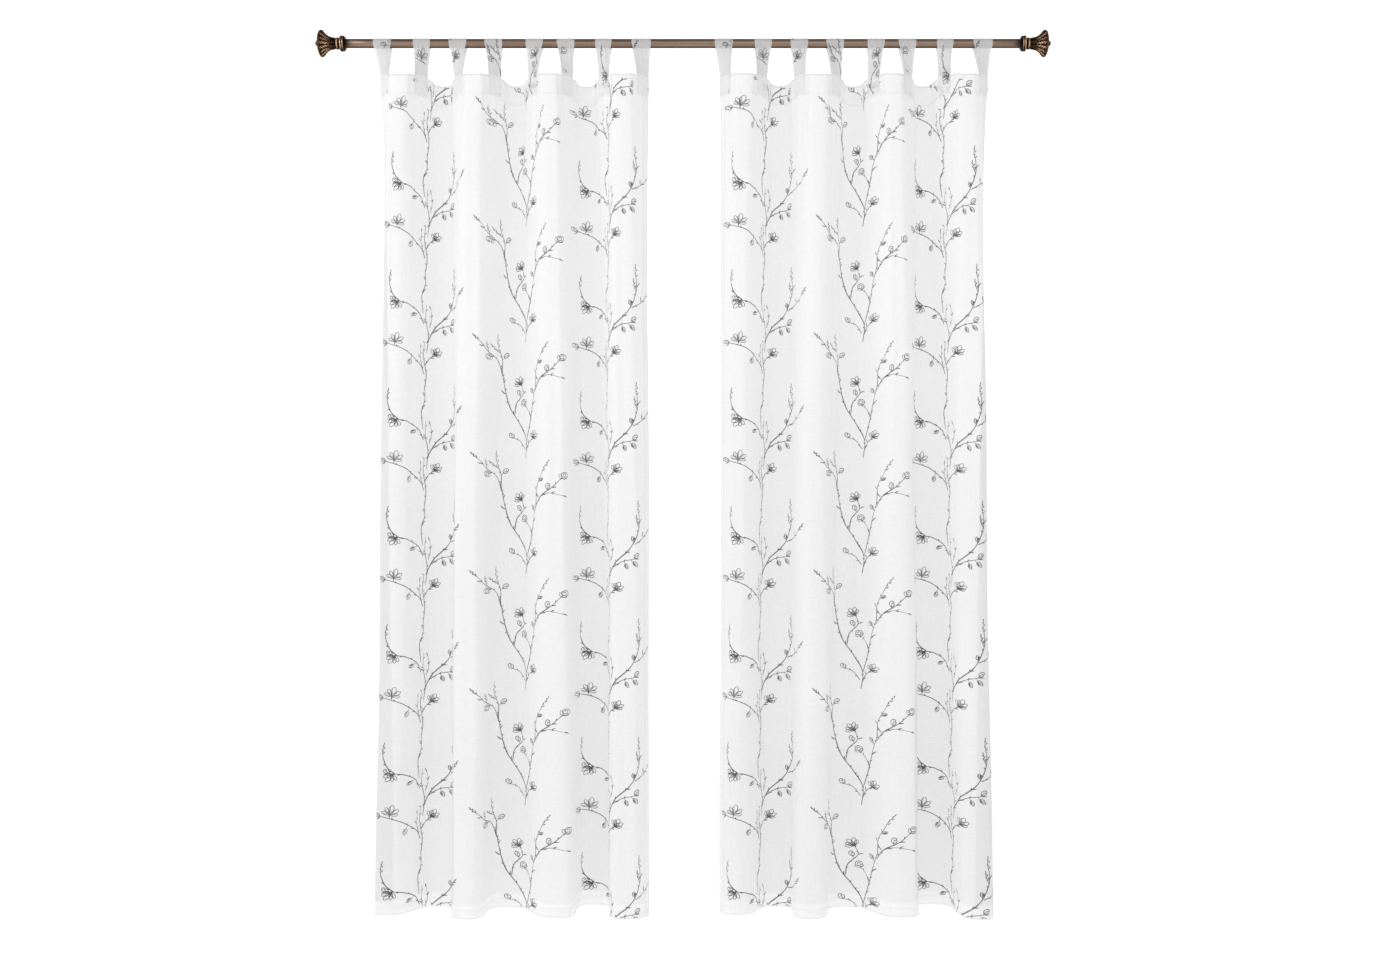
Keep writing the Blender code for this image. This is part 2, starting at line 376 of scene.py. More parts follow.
class Bench:
    """The node tree of a material or world, and the one method that adds nodes to it."""

    def __init__(self, owner: bpy.types.Material | bpy.types.World) -> None:
        """Starts with the shader and the output that come with new nodes.

        Args:
            owner: A new material or world.
        """
        owner.use_nodes = True
        self.owner = owner
        self.tree = owner.node_tree

    def node(
        self,
        kind: str,
        settings: dict[str, object],
        sockets: dict[int | str, object],
        output: int | str = 0,
    ) -> Wire:
        """Adds a node.

        Args:
            kind: The node's type.
            settings: Its properties, or stops for a ramp's positions and colours.
            sockets: The value or Wire of each of its inputs that is set.
            output: Which of its outputs to return.

        Returns:
            The output.
        """
        made = self.tree.nodes.new(kind)
        for name, value in settings.items():
            if name == "stops":
                self._set_stops(made.color_ramp, value)
            else:
                setattr(made, name, value)
        for key, value in sockets.items():
            self.join(value, made.inputs[key])
        return Wire(self, made.outputs[output])

    @staticmethod
    def _set_stops(ramp: bpy.types.ColorRamp, stops: Sequence[tuple[float, float]]) -> None:
        """Gives a ramp its stops.

        Args:
            ramp: The ramp.
            stops: The position and the grey level of each stop.
        """
        while len(ramp.elements) < len(stops):
            ramp.elements.new(1.0)
        for element, (position, level) in zip(ramp.elements, stops):
            element.position = position
            element.color = (level, level, level, 1.0)

    def join(self, value: object, socket: bpy.types.NodeSocket) -> None:
        """Links a Wire to a socket, or sets the socket to a value.

        Args:
            value: The Wire, number, colour or vector.
            socket: The input that takes it.
        """
        if isinstance(value, Wire):
            self.tree.links.new(value.socket, socket)
        elif isinstance(value, tuple) and len(value) == 3 and socket.type == "RGBA":
            socket.default_value = (*value, 1.0)
        else:
            socket.default_value = value

    def place(self) -> Wire:
        """The point's place in the row frame."""
        return self.node("ShaderNodeTexCoord", {}, {}, "Object")

    def stretched(self, place: Wire, scale: Colour) -> Wire:
        """A place with each axis scaled by a number of its own."""
        return self.node("ShaderNodeVectorMath", {"operation": "MULTIPLY"}, {0: place, 1: scale})

    def noise(self, place: Wire, scale: float, detail: float = 3.0, roughness: float = 0.5) -> Wire:
        """Soft random values from 0 to 1."""
        inputs = {"Vector": place, "Scale": scale, "Detail": detail, "Roughness": roughness}
        return self.node("ShaderNodeTexNoise", {}, inputs, "Fac")

    def ramp(self, value: Wire, low: float, high: float) -> Wire:
        """A value stretched so that low becomes 0 and high becomes 1."""
        return self.node("ShaderNodeValToRGB", {"stops": ((low, 0.0), (high, 1.0))}, {0: value})

    def attribute(self, name: str) -> Wire:
        """One of the numbers that a piece stores for each point."""
        return self.node("ShaderNodeAttribute", {"attribute_name": name}, {}, "Fac")

    def mix(self, share: Wire | float, first: object, second: object) -> Wire:
        """A colour between two."""
        return self.node("ShaderNodeMix", {"data_type": "RGBA"}, {0: share, 6: first, 7: second}, 2)

    def bump(self, height: Wire, strength: float, distance: float) -> Wire:
        """A surface raised by a height from 0 to 1."""
        inputs = {"Height": height, "Strength": strength, "Distance": distance}
        return self.node("ShaderNodeBump", {}, inputs)

    def dress(
        self, sockets: dict[str, object], shader: str = "Principled BSDF"
    ) -> bpy.types.Material | bpy.types.World:
        """Sets or links the inputs of the shader.

        Args:
            sockets: The value or Wire of each input that is set.
            shader: The shader's name.

        Returns:
            The finished material or world.
        """
        for name, value in sockets.items():
            self.join(value, self.tree.nodes[shader].inputs[name])
        return self.owner


@dataclass(frozen=True)
class VoileFinish:
    """Thin plain-woven cloth with slightly uneven threads.

    The cover is the share of light that one layer stops, and the glow is painted light: an even
    emission that stands in for the light that soaks through its threads from behind. Where a piece
    stores that it lies double, painted light makes it whiter and makes it glow more.
    """

    FLAT_MAP = "flat_cloth"
    DOUBLED = "doubled"
    THREAD_RATES = (30.0, 1500.0)

    name: str
    cover: float
    pale: Colour = (0.73, 0.73, 0.73)
    shade: Colour = (0.66, 0.66, 0.665)
    glow: float = 0.18
    painted_light_white: Colour = (0.90, 0.90, 0.90)

    def build(self) -> bpy.types.Material:
        """Makes the material.

        Returns:
            The new material.
        """
        bench = Bench(bpy.data.materials.new(self.name))
        flat = bench.node("ShaderNodeUVMap", {"uv_map": self.FLAT_MAP}, {})
        along, across = self.THREAD_RATES
        weft = bench.noise(bench.stretched(flat, (along, across, 1.0)), scale=1.0, detail=1.0)
        warp = bench.noise(bench.stretched(flat, (across, along, 1.0)), scale=1.0, detail=1.0)
        threads = bench.ramp((weft + warp) * 0.5, low=0.30, high=0.70)
        cloud = bench.noise(flat, scale=9.0, detail=2.0)
        tone = threads * 0.5 + cloud * 0.5
        # Painted light: where the cloth lies double it is mixed towards white and glows at full strength,
        # and all of it glows a little.
        doubled = bench.attribute(self.DOUBLED)
        colour = bench.mix(tone, self.shade, self.pale)
        return bench.dress(
            {
                "Base Color": bench.mix(doubled * 0.35, colour, self.painted_light_white),
                "Roughness": 0.92 - threads * 0.12,
                "Alpha": threads * 0.10 + (self.cover - 0.05),
                "Normal": bench.bump(threads, strength=0.25, distance=0.0005),
                "Emission Color": bench.mix(doubled, self.pale, (1.0, 1.0, 1.0)),
                "Emission Strength": self.glow,
                "Sheen Weight": 0.15,
                "Sheen Roughness": 0.6,
                "Specular IOR Level": 0.2,
            }
        )


@dataclass(frozen=True)
class InkFinish:
    """Grey ink printed on the cloth, laid on unevenly."""

    TONE = "tone"

    name: str
    dark: Colour = (0.060, 0.060, 0.064)
    light: Colour = (0.24, 0.24, 0.25)

    def build(self) -> bpy.types.Material:
        """Makes the material.

        Returns:
            The new material.
        """
        bench = Bench(bpy.data.materials.new(self.name))
        patchy = bench.noise(bench.place(), scale=420.0, detail=2.0, roughness=0.7)
        share = bench.attribute(self.TONE) * 0.8 + patchy * 0.35
        return bench.dress(
            {
                "Base Color": bench.mix(share, self.dark, self.light),
                "Roughness": 0.95 - patchy * 0.2,
                "Alpha": 1.0 - patchy * 0.25,
                "Specular IOR Level": 0.1,
            }
        )


@dataclass(frozen=True)
class ThreadFinish:
    """White sewing thread."""

    name: str
    colour: Colour = (0.90, 0.90, 0.89)
    shade: Colour = (0.66, 0.66, 0.66)

    def build(self) -> bpy.types.Material:
        """Makes the material.

        Returns:
            The new material.
        """
        bench = Bench(bpy.data.materials.new(self.name))
        twist = bench.noise(bench.place(), scale=2600.0, detail=1.0)
        share = bench.ramp(twist, low=0.3, high=0.7)
        return bench.dress(
            {
                "Base Color": bench.mix(share, self.shade, self.colour),
                "Roughness": 0.85 - twist * 0.2,
                "Normal": bench.bump(twist, strength=0.3, distance=0.0002),
            }
        )


@dataclass(frozen=True)
class BrushedBronzeFinish:
    """Satin bronze tube, brushed along its length, with painted shade in dark brown that is strongest
    along its top and underside.
    """

    PAINTED_EDGE_SHADE = "browned"

    name: str
    light: Colour = (0.365, 0.262, 0.200)
    dark: Colour = (0.190, 0.130, 0.096)
    edge_shade_colour: Colour = (0.050, 0.032, 0.023)
    rim: Colour = (0.06, 0.04, 0.03)

    def build(self) -> bpy.types.Material:
        """Makes the material.

        Returns:
            The new material.
        """
        bench = Bench(bpy.data.materials.new(self.name))
        place = bench.place()
        brushed = bench.noise(bench.stretched(place, (7.0, 1500.0, 1500.0)), scale=1.0)
        patches = bench.stretched(place, (4.0, 190.0, 190.0))
        aged = bench.noise(patches, scale=1.0, roughness=0.6)
        # Painted shade: the tube turns dark brown, less metallic and rougher along its top and underside.
        browned = bench.attribute(self.PAINTED_EDGE_SHADE)
        share = bench.ramp(brushed * 0.4 + aged * 0.6, low=0.34, high=0.66)
        bronze = bench.mix(share, self.dark, self.light)
        return bench.dress(
            {
                "Base Color": bench.mix(browned, bronze, self.edge_shade_colour),
                "Metallic": 0.96 - browned * 0.9,
                "Roughness": browned * 0.3 + aged * 0.2 + 0.32,
                "Specular IOR Level": 0.05,
                "Specular Tint": self.rim,
                "Normal": bench.bump(brushed, strength=0.12, distance=0.0004),
            }
        )


@dataclass(frozen=True)
class CastBronzeFinish:
    """Cast antique bronze: rubbed golden on the high points and nearly black in the hollows."""

    RUBBED_AND_PAINTED_SHADE = "raised"

    name: str
    hollow: Colour = (0.007, 0.004, 0.003)
    body: Colour = (0.088, 0.046, 0.026)
    rubbed: Colour = (0.78, 0.51, 0.30)
    rim: Colour = (0.08, 0.05, 0.035)

    def build(self) -> bpy.types.Material:
        """Makes the material.

        Returns:
            The new material.
        """
        bench = Bench(bpy.data.materials.new(self.name))
        place = bench.place()
        grain = bench.noise(place, scale=700.0, roughness=0.6)
        worn = bench.noise(place, scale=90.0, roughness=0.6)
        # The stored value is rubbed wear on the high points. On the collar and the neck it also carries
        # painted shade above and below.
        height = bench.attribute(self.RUBBED_AND_PAINTED_SHADE) + (worn - 0.5) * 0.35
        above = bench.ramp(height, low=0.30, high=0.62)
        top = bench.ramp(height, low=0.66, high=1.0)
        colour = bench.mix(top, bench.mix(above, self.hollow, self.body), self.rubbed)
        return bench.dress(
            {
                "Base Color": colour,
                "Metallic": above * 0.65 + 0.30,
                "Roughness": 0.44 - top * 0.24,
                "Specular IOR Level": 0.15,
                "Specular Tint": self.rim,
                "Normal": bench.bump(grain, strength=0.25, distance=0.0004),
            }
        )


@dataclass(frozen=True)
class PlainFinish:
    """The backdrop's pale painted surface."""

    name: str
    colour: Colour = (0.90, 0.90, 0.90)
    glow: float = 0.50

    def build(self) -> bpy.types.Material:
        """Makes the material.

        Returns:
            The new material.
        """
        bench = Bench(bpy.data.materials.new(self.name))
        mottle = bench.noise(bench.place(), scale=3.0, detail=2.0)
        paler = tuple(min(1.0, level + 0.01) for level in self.colour)
        return bench.dress(
            {
                "Base Color": bench.mix(mottle, self.colour, paler),
                "Roughness": 0.9,
                "Emission Color": (1.0, 1.0, 1.0),
                "Emission Strength": self.glow,
            }
        )


SINGLE_VOILE = VoileFinish("voile", cover=0.74)
# The tabs' voile is a darker copy of the voile. Its paler and darker greys carry painted shade, and it
# has its own painted glow.
TAB_VOILE = VoileFinish(
    "shaded_tab_voile", cover=0.70, pale=(0.67, 0.67, 0.67), shade=(0.53, 0.53, 0.535), glow=0.20
)


@dataclass(frozen=True)
class Finishes:
    """Every material of the model."""

    voile: bpy.types.Material = field(default_factory=SINGLE_VOILE.build)
    tab_voile: bpy.types.Material = field(default_factory=TAB_VOILE.build)
    ink: bpy.types.Material = field(default_factory=InkFinish("printed_ink").build)
    thread: bpy.types.Material = field(default_factory=ThreadFinish("sewing_thread").build)
    tube: bpy.types.Material = field(default_factory=BrushedBronzeFinish("brushed_bronze").build)
    cast: bpy.types.Material = field(default_factory=CastBronzeFinish("cast_bronze").build)


# The print


@dataclass
class Stroke:
    """One stroke of the pen on the flat cloth: its points, its width at each, and how pale it is."""

    points: np.ndarray
    widths: np.ndarray
    tone: float

    def moved(self, across: float, up: float) -> "Stroke":
        """The same stroke somewhere else."""
        return Stroke(self.points + np.array([across, up]), self.widths, self.tone)

    def parts_inside(self, low: Point, high: Point) -> list["Stroke"]:
        """The stretches of the stroke that lie inside a box.

        Args:
            low: The box's lowest corner.
            high: The box's highest corner.

        Returns:
            A stroke for each stretch.
        """
        inside = np.all((self.points > np.array(low)) & (self.points < np.array(high)), axis=1)
        parts, start = [], None
        for index, within in enumerate([*inside, False]):
            if within and start is None:
                start = index
            elif not within and start is not None:
                if index - start > 1:
                    cut = slice(start, index)
                    parts.append(Stroke(self.points[cut], self.widths[cut], self.tone))
                start = None
        return parts


@dataclass(frozen=True)
class Bloom:
    """Something on a printed twig: its share of the way along, its lean in degrees, and its sizes."""

    share: float
    growth: Growth
    lean: float
    stalk: float
    size: float


@dataclass(frozen=True)
class Limb:
    """A printed twig: points that it passes through, its width, and what grows on it."""

    line: tuple[Point, ...]
    width: float
    blooms: tuple[Bloom, ...] = ()
    tone: float = 0.08


# Small shapes, as shares of their length along and beside their axis
PETAL = ((0.0, 0.04), (0.42, 0.20), (0.76, 0.17), (1.0, 0.02), (0.80, -0.14), (0.44, -0.19), (0.0, -0.04))
PETAL_FOLD = ((0.18, 0.02), (0.55, 0.08), (0.84, 0.15))
PETAL_FILL = ((0.12, -0.03), (0.5, -0.07), (0.80, -0.05))
DROP = ((0.0, 0.0), (0.28, 0.27), (0.70, 0.22), (1.0, 0.02), (0.72, -0.20), (0.30, -0.22), (0.0, 0.0))
DROP_FOLD = ((0.10, 0.02), (0.50, 0.12), (0.92, 0.05))
DROP_FILL = ((0.12, -0.05), (0.45, -0.10), (0.74, -0.06))
LIP = ((0.0, 0.0), (0.32, 0.30), (0.82, 0.30), (1.02, 0.0), (0.80, -0.24), (0.58, -0.12), (0.72, 0.05))
LIP_SIDE = ((0.0, 0.0), (0.20, -0.22), (0.55, -0.34), (0.66, -0.22))
SLIM = ((0.0, 0.0), (0.5, 0.07), (1.0, 0.0))


class Pen:
    """Draws twigs, leaves, buds and blossoms as strokes, each a little uneven."""

    def __init__(self, seed: int) -> None:
        """Starts with no strokes and a fixed seed."""
        self.strokes: list[Stroke] = []
        self.chance = random.Random(seed)

    def draw(self, stations: Sequence[Point], widths: Sequence[float], tone: float) -> np.ndarray:
        """Draws a smooth stroke.

        Args:
            stations: Points that it passes through.
            widths: Its width at evenly spaced places along it.
            tone: How pale it is, from 0 to 1.

        Returns:
            Its points.
        """
        points = smooth_line(stations, 5)
        along = np.linspace(0, 1, len(points))
        spread = np.interp(along, np.linspace(0, 1, len(widths)), widths)
        self.strokes.append(Stroke(points, spread, tone))
        return points

    def shape(
        self,
        place: Point,
        angle: float,
        length: float,
        outline: Sequence[Point],
        widths: Sequence[float],
        tone: float,
    ) -> None:
        """Draws one of the small shapes.

        Args:
            place: Where its axis starts.
            angle: The direction of its axis.
            length: Its length.
            outline: Its stations, as shares of its length.
            widths: Its width at evenly spaced places.
            tone: How pale it is.
        """
        ahead = np.array([math.cos(angle), math.sin(angle)]) * length
        beside = np.array([-ahead[1], ahead[0]])
        wobble = self.chance.uniform(0.92, 1.08)
        stations = [np.array(place) + a * ahead + b * wobble * beside for a, b in outline]
        self.draw(stations, widths, tone)

    def grow(self, growth: Growth, place: Point, angle: float, size: float) -> None:
        """Draws what grows at the end of a stalk.

        Args:
            growth: What it is.
            place: Where it starts.
            angle: The direction in which it grows.
            size: Its length.
        """
        if growth is Growth.FLOWER:
            self._flower(place, angle, size, 0.12, True)
        elif growth is Growth.BLOSSOM:
            self._flower(place, angle, size, 0.42, False)
        elif growth is Growth.ROSE:
            self._rose(place, angle, size)
        elif growth is Growth.BUD:
            self.shape(place, angle, size, DROP, (1.1, 1.6, 1.1, 1.5, 0.9), 0.2)
            self.shape(place, angle, size, DROP_FILL, (1.8, 3.2, 1.1), 0.1)
            self.shape(place, angle, size, DROP_FOLD, (0.7, 1.1), 0.45)
        elif growth is Growth.CURL:
            self.shape(place, angle, size, LIP, (1.2, 1.7, 2.0, 1.5), 0.12)
            self.shape(place, angle, size, LIP_SIDE, (1.4, 1.9, 0.9), 0.2)
            self.shape(place, angle, size * 0.6, SLIM, (2.0, 1.1), 0.25)
        elif growth is Growth.LEAF:
            self.shape(place, angle, size, SLIM, (0.9, 3.0, 2.6, 0.6), 0.15)
        elif growth is Growth.SPIKE:
            self._spike(place, angle, size)
        else:
            self.shape(place, angle, size, SLIM, (1.2, 2.5, 0.8), 0.08)

    def _flower(
        self, place: Point, angle: float, size: float, tone: float, filled: bool
    ) -> None:
        """Draws a flower in half view: five pointed petals, a stamen and a dark calyx.

        Args:
            place: Where its petals start.
            angle: The direction of its axis.
            size: The length of a petal.
            tone: How pale its petals are.
            filled: Whether its petals are shaded dark, and drawn closer together.
        """
        spread = 0.84 if filled else 1.05
        for turn, share in ((-76, 0.80), (72, 0.88), (-40, 1.02), (36, 0.96), (-2, 1.14)):
            heading = angle + math.radians(turn * spread + self.chance.uniform(-6, 6))
            length = 1.12 * size * share * self.chance.uniform(0.94, 1.06)
            self.shape(place, heading, length, PETAL, (1.0, 1.6, 1.2, 1.6, 1.0), tone)
            if filled:
                self.shape(place, heading, length * 0.72, PETAL_FILL, (2.6, 1.7, 0.6), tone)
            else:
                self.shape(place, heading, length, PETAL_FOLD, (0.7, 1.0, 0.5), tone + 0.15)
        self.shape(place, angle + 0.2, size * 0.7, SLIM, (0.8, 0.7, 1.8), 0.1)
        self.shape(place, angle + math.pi, size * 0.28, SLIM, (3.2, 2.6, 1.4), 0.05)

    def _spike(self, place: Point, angle: float, size: float) -> None:
        """Draws a slim shoot with small dark buds on alternate sides.

        Args:
            place: Where it starts.
            angle: Its direction.
            size: Its length.
        """
        self.shape(place, angle, size, SLIM, (1.5, 1.3, 0.9), 0.2)
        ahead = np.array([math.cos(angle), math.sin(angle)])
        for step, share in enumerate((0.22, 0.42, 0.62, 0.80)):
            spot = tuple(np.array(place) + ahead * size * share)
            lean = 0.55 if step % 2 else -0.5
            self.shape(spot, angle + lean, 6.5 - step * 0.5, SLIM, (1.2, 2.7, 0.8), 0.1)
        tip = tuple(np.array(place) + ahead * size * 0.96)
        self.shape(tip, angle, 6.0, SLIM, (1.3, 2.4, 0.7), 0.1)

    def _rose(self, place: Point, angle: float, size: float) -> None:
        """Draws a small round bloom as a loose spiral with two outer petals.

        Args:
            place: Where its stalk ends.
            angle: The direction of its axis.
            size: Its width.
        """
        middle = np.array(place) + size * 0.5 * np.array([math.cos(angle), math.sin(angle)])
        spiral = []
        for step in range(13):
            turn = angle + math.pi + step * 0.95
            reach = size * (0.52 - 0.033 * step) * self.chance.uniform(0.94, 1.06)
            spiral.append((middle[0] + reach * math.cos(turn), middle[1] + reach * math.sin(turn)))
        self.draw(spiral, (1.3, 1.7, 1.2, 2.0), 0.18)
        for side in (-1, 1):
            self.shape(place, angle + side * 0.95, size * 0.62, DROP, (1.1, 1.4, 1.0), 0.35)
        self.shape(place, angle + math.pi, size * 0.24, SLIM, (2.8, 1.6), 0.1)

    def limb(self, limb: Limb) -> None:
        """Draws a twig, its knots and what grows on it.

        Args:
            limb: Its row of the motif's table.
        """
        width = limb.width * 1.15
        line = self.draw(limb.line, (width, width * 0.85, width * 0.95, width * 0.65), limb.tone)
        last = len(line) - 1
        cut = line[int(last * 0.08) : int(last * 0.8)]
        self.draw(cut[::4] + np.array([0.9, -0.5]), (0.4, width * 0.45, 0.4), 0.5)
        for share in np.arange(0.18, 0.95, 22.0 / self._length(line)):
            spot, angle = self._along(line, share + self.chance.uniform(-0.05, 0.05))
            side = self.chance.choice((-1, 1))
            self.shape(spot, angle + side * 0.7, 5.4, SLIM, (width * 1.35, width, 0.7), 0.1)
        for bloom in limb.blooms:
            spot, angle = self._along(line, bloom.share)
            heading = angle + math.radians(bloom.lean)
            if bloom.stalk > 0:
                side = math.copysign(0.12, bloom.lean)
                stalk = [(0.0, 0.0), (0.5, side), (1.0, 0.0)]
                self.shape(spot, heading, bloom.stalk, stalk, (1.3, 1.0), 0.25)
                ahead = np.array([math.cos(heading), math.sin(heading)])
                spot = tuple(np.array(spot) + bloom.stalk * ahead)
            self.grow(bloom.growth, spot, heading, bloom.size)

    @staticmethod
    def _length(line: np.ndarray) -> float:
        """A line's length."""
        return float(np.hypot(*np.diff(line, axis=0).T).sum())

    @staticmethod
    def _along(line: np.ndarray, share: float) -> tuple[Point, float]:
        """Finds a place on a line.

        Args:
            line: The line's points.
            share: The share of the way along it.

        Returns:
            The point there, and the line's direction.
        """
        index = min(max(int(round(share * (len(line) - 1))), 1), len(line) - 1)
        heading = line[index] - line[index - 1]
        return tuple(line[index]), math.atan2(heading[1], heading[0])


SPRAY_REPEAT = 285.0

TALL_SPRAY = (
    Limb(((0, -4), (3, 34), (-2, 78), (0, 112)), 1.6, tone=0.4),
    Limb(
        ((4, 88), (7, 132), (2, 168), (3, 206)),
        1.4,
        (Bloom(0.62, Growth.DASH, 28, 0, 10),),
        tone=0.4,
    ),
    Limb(
        ((-3, 184), (-6, 226), (1, 258), (0, 292)),
        1.5,
        (Bloom(0.4, Growth.LEAF, -24, 1, 13), Bloom(0.75, Growth.DASH, 26, 1, 9)),
        tone=0.35,
    ),
    Limb(
        ((-5, 52), (-8, 74), (-7, 96)),
        1.1,
        (Bloom(0.5, Growth.DASH, 24, 0, 9), Bloom(1.0, Growth.LEAF, 0, 0, 11)),
        tone=0.4,
    ),
    Limb(
        ((9, 150), (14, 172), (12, 196)),
        1.1,
        (Bloom(0.6, Growth.DASH, -24, 0, 8), Bloom(1.0, Growth.LEAF, 6, 0, 11)),
        tone=0.4,
    ),
    Limb(
        ((-1, 34), (-9, 58), (-38, 86), (-76, 101)),
        1.8,
        (
            Bloom(0.50, Growth.BUD, 118, 9, 15), Bloom(0.84, Growth.BLOSSOM, -82, 9, 18),
            Bloom(1.0, Growth.DASH, 62, 1, 10), Bloom(1.0, Growth.CURL, -4, 1, 13),
        ),
    ),
    Limb(
        ((-2, 158), (-12, 184), (-36, 200), (-58, 203)),
        1.9,
        (
            Bloom(0.36, Growth.BUD, 96, 6, 13), Bloom(0.90, Growth.FLOWER, 60, 1, 17),
            Bloom(1.0, Growth.CURL, -32, 2, 14), Bloom(1.0, Growth.DASH, 8, 4, 11),
        ),
    ),
    Limb(((-50, 203), (-66, 220), (-74, 244)), 2.1, (Bloom(1.0, Growth.SPIKE, -22, 0, 30),)),
    Limb(
        ((4, 112), (22, 152), (54, 188), (70, 232), (71, 262)),
        1.8,
        (
            Bloom(0.42, Growth.DASH, -34, 1, 9), Bloom(0.56, Growth.BUD, 34, 4, 13),
            Bloom(0.74, Growth.SPIKE, 24, 3, 26), Bloom(0.86, Growth.DASH, -30, 2, 10),
            Bloom(1.0, Growth.SPIKE, 2, 0, 34),
        ),
    ),
    Limb(
        ((60, 194), (78, 206), (90, 222)),
        1.3,
        (Bloom(0.6, Growth.LEAF, 46, 2, 13), Bloom(1.0, Growth.SPIKE, 6, 0, 20)),
    ),
    Limb(
        ((15, 138), (34, 152), (58, 158)),
        1.5,
        (
            Bloom(0.60, Growth.BUD, -92, 6, 15), Bloom(0.94, Growth.BUD, -64, 6, 16),
            Bloom(1.0, Growth.CURL, 38, 3, 14), Bloom(1.0, Growth.DASH, -14, 2, 10),
        ),
    ),
    Limb(
        ((1, 58), (9, 74), (20, 84)),
        1.6,
        (Bloom(0.6, Growth.DASH, -52, 1, 8), Bloom(1.0, Growth.FLOWER, 18, 0, 16)),
    ),
)

FORKED_SPRAY = (
    Limb(
        ((0, -40), (3, 2), (-14, 42), (-40, 88), (-52, 138), (-58, 178)),
        1.8,
        (
            Bloom(0.52, Growth.DASH, -34, 1, 9), Bloom(0.74, Growth.LEAF, 36, 1, 15),
            Bloom(0.84, Growth.DASH, -36, 1, 9),
        ),
    ),
    Limb(
        ((-57, 164), (-68, 200), (-92, 222), (-108, 242)),
        1.6,
        (
            Bloom(0.44, Growth.ROSE, 62, 5, 15), Bloom(0.62, Growth.SPIKE, -42, 2, 20),
            Bloom(0.80, Growth.DASH, 36, 2, 9), Bloom(1.0, Growth.SPIKE, 6, 0, 20),
        ),
    ),
    Limb(
        ((-59, 172), (-58, 204), (-66, 228)),
        1.6,
        (
            Bloom(0.50, Growth.CURL, -50, 6, 15), Bloom(0.80, Growth.SPIKE, 26, 2, 24),
            Bloom(1.0, Growth.SPIKE, -16, 0, 32),
        ),
    ),
    Limb(
        ((3, 0), (14, 52), (22, 96), (32, 140)),
        1.7,
        (
            Bloom(0.40, Growth.DASH, 32, 1, 9), Bloom(0.58, Growth.LEAF, -34, 1, 13),
            Bloom(0.82, Growth.BUD, 44, 5, 13),
        ),
    ),
    Limb(
        ((28, 120), (44, 150), (70, 170), (90, 192)),
        1.6,
        (
            Bloom(0.30, Growth.LEAF, 58, 2, 17), Bloom(0.56, Growth.CURL, 48, 3, 15),
            Bloom(0.70, Growth.DASH, -36, 1, 9), Bloom(1.0, Growth.ROSE, 4, 0, 18),
        ),
    ),
    Limb(
        ((44, 150), (64, 157), (92, 150)),
        1.1,
        (Bloom(0.6, Growth.DASH, 30, 0, 8), Bloom(1.0, Growth.LEAF, -12, 0, 10)),
    ),
    Limb(
        ((31, 134), (33, 172), (46, 204)),
        1.5,
        (
            Bloom(0.45, Growth.DASH, 26, 1, 10), Bloom(0.72, Growth.BUD, -40, 3, 12),
            Bloom(1.0, Growth.SPIKE, -6, 0, 34),
        ),
    ),
    Limb(
        ((-28, 68), (-24, 96), (-6, 120), (-12, 142)),
        1.4,
        (
            Bloom(1.0, Growth.FLOWER, 20, 0, 17), Bloom(0.55, Growth.CURL, 66, 5, 14),
            Bloom(0.7, Growth.DASH, -40, 1, 9),
        ),
    ),
    Limb(((15, 56), (8, 78), (-2, 90)), 1.2, (Bloom(1.0, Growth.ROSE, -22, 0, 16),)),
    Limb(
        ((2, -22), (9, -4), (20, 8)),
        1.7,
        (Bloom(0.5, Growth.DASH, 34, 1, 9), Bloom(1.0, Growth.FLOWER, 16, 0, 15)),
    ),
    Limb(((-2, -18), (-14, 2), (-30, 10)), 1.3, (Bloom(1.0, Growth.CURL, -30, 0, 15),)),
)


@dataclass(frozen=True)
class PrintRow:
    """One upright row of the print: its place across the hung panel, its height, and its motif."""

    across: float
    phase: float
    limbs: tuple[Limb, ...]
    seed: int


PRINT_ROWS = (
    PrintRow(97, -147, TALL_SPRAY, 5),
    PrintRow(345, -274, FORKED_SPRAY, 11),
    PrintRow(552, -147, TALL_SPRAY, 5),
)


def printed_strokes(height: float) -> list[Stroke]:
    """Every stroke of a panel's print, in millimetres across the hung panel and above its hem.

    Args:
        height: The panel's height.

    Returns:
        The strokes.
    """
    strokes = []
    for row in PRINT_ROWS:
        pen = Pen(row.seed)
        for limb in row.limbs:
            pen.limb(limb)
        repeats = int(height / SPRAY_REPEAT) + 3
        for repeat in range(-1, repeats):
            lift = row.phase + repeat * SPRAY_REPEAT
            strokes += [stroke.moved(row.across, lift) for stroke in pen.strokes]
    return strokes


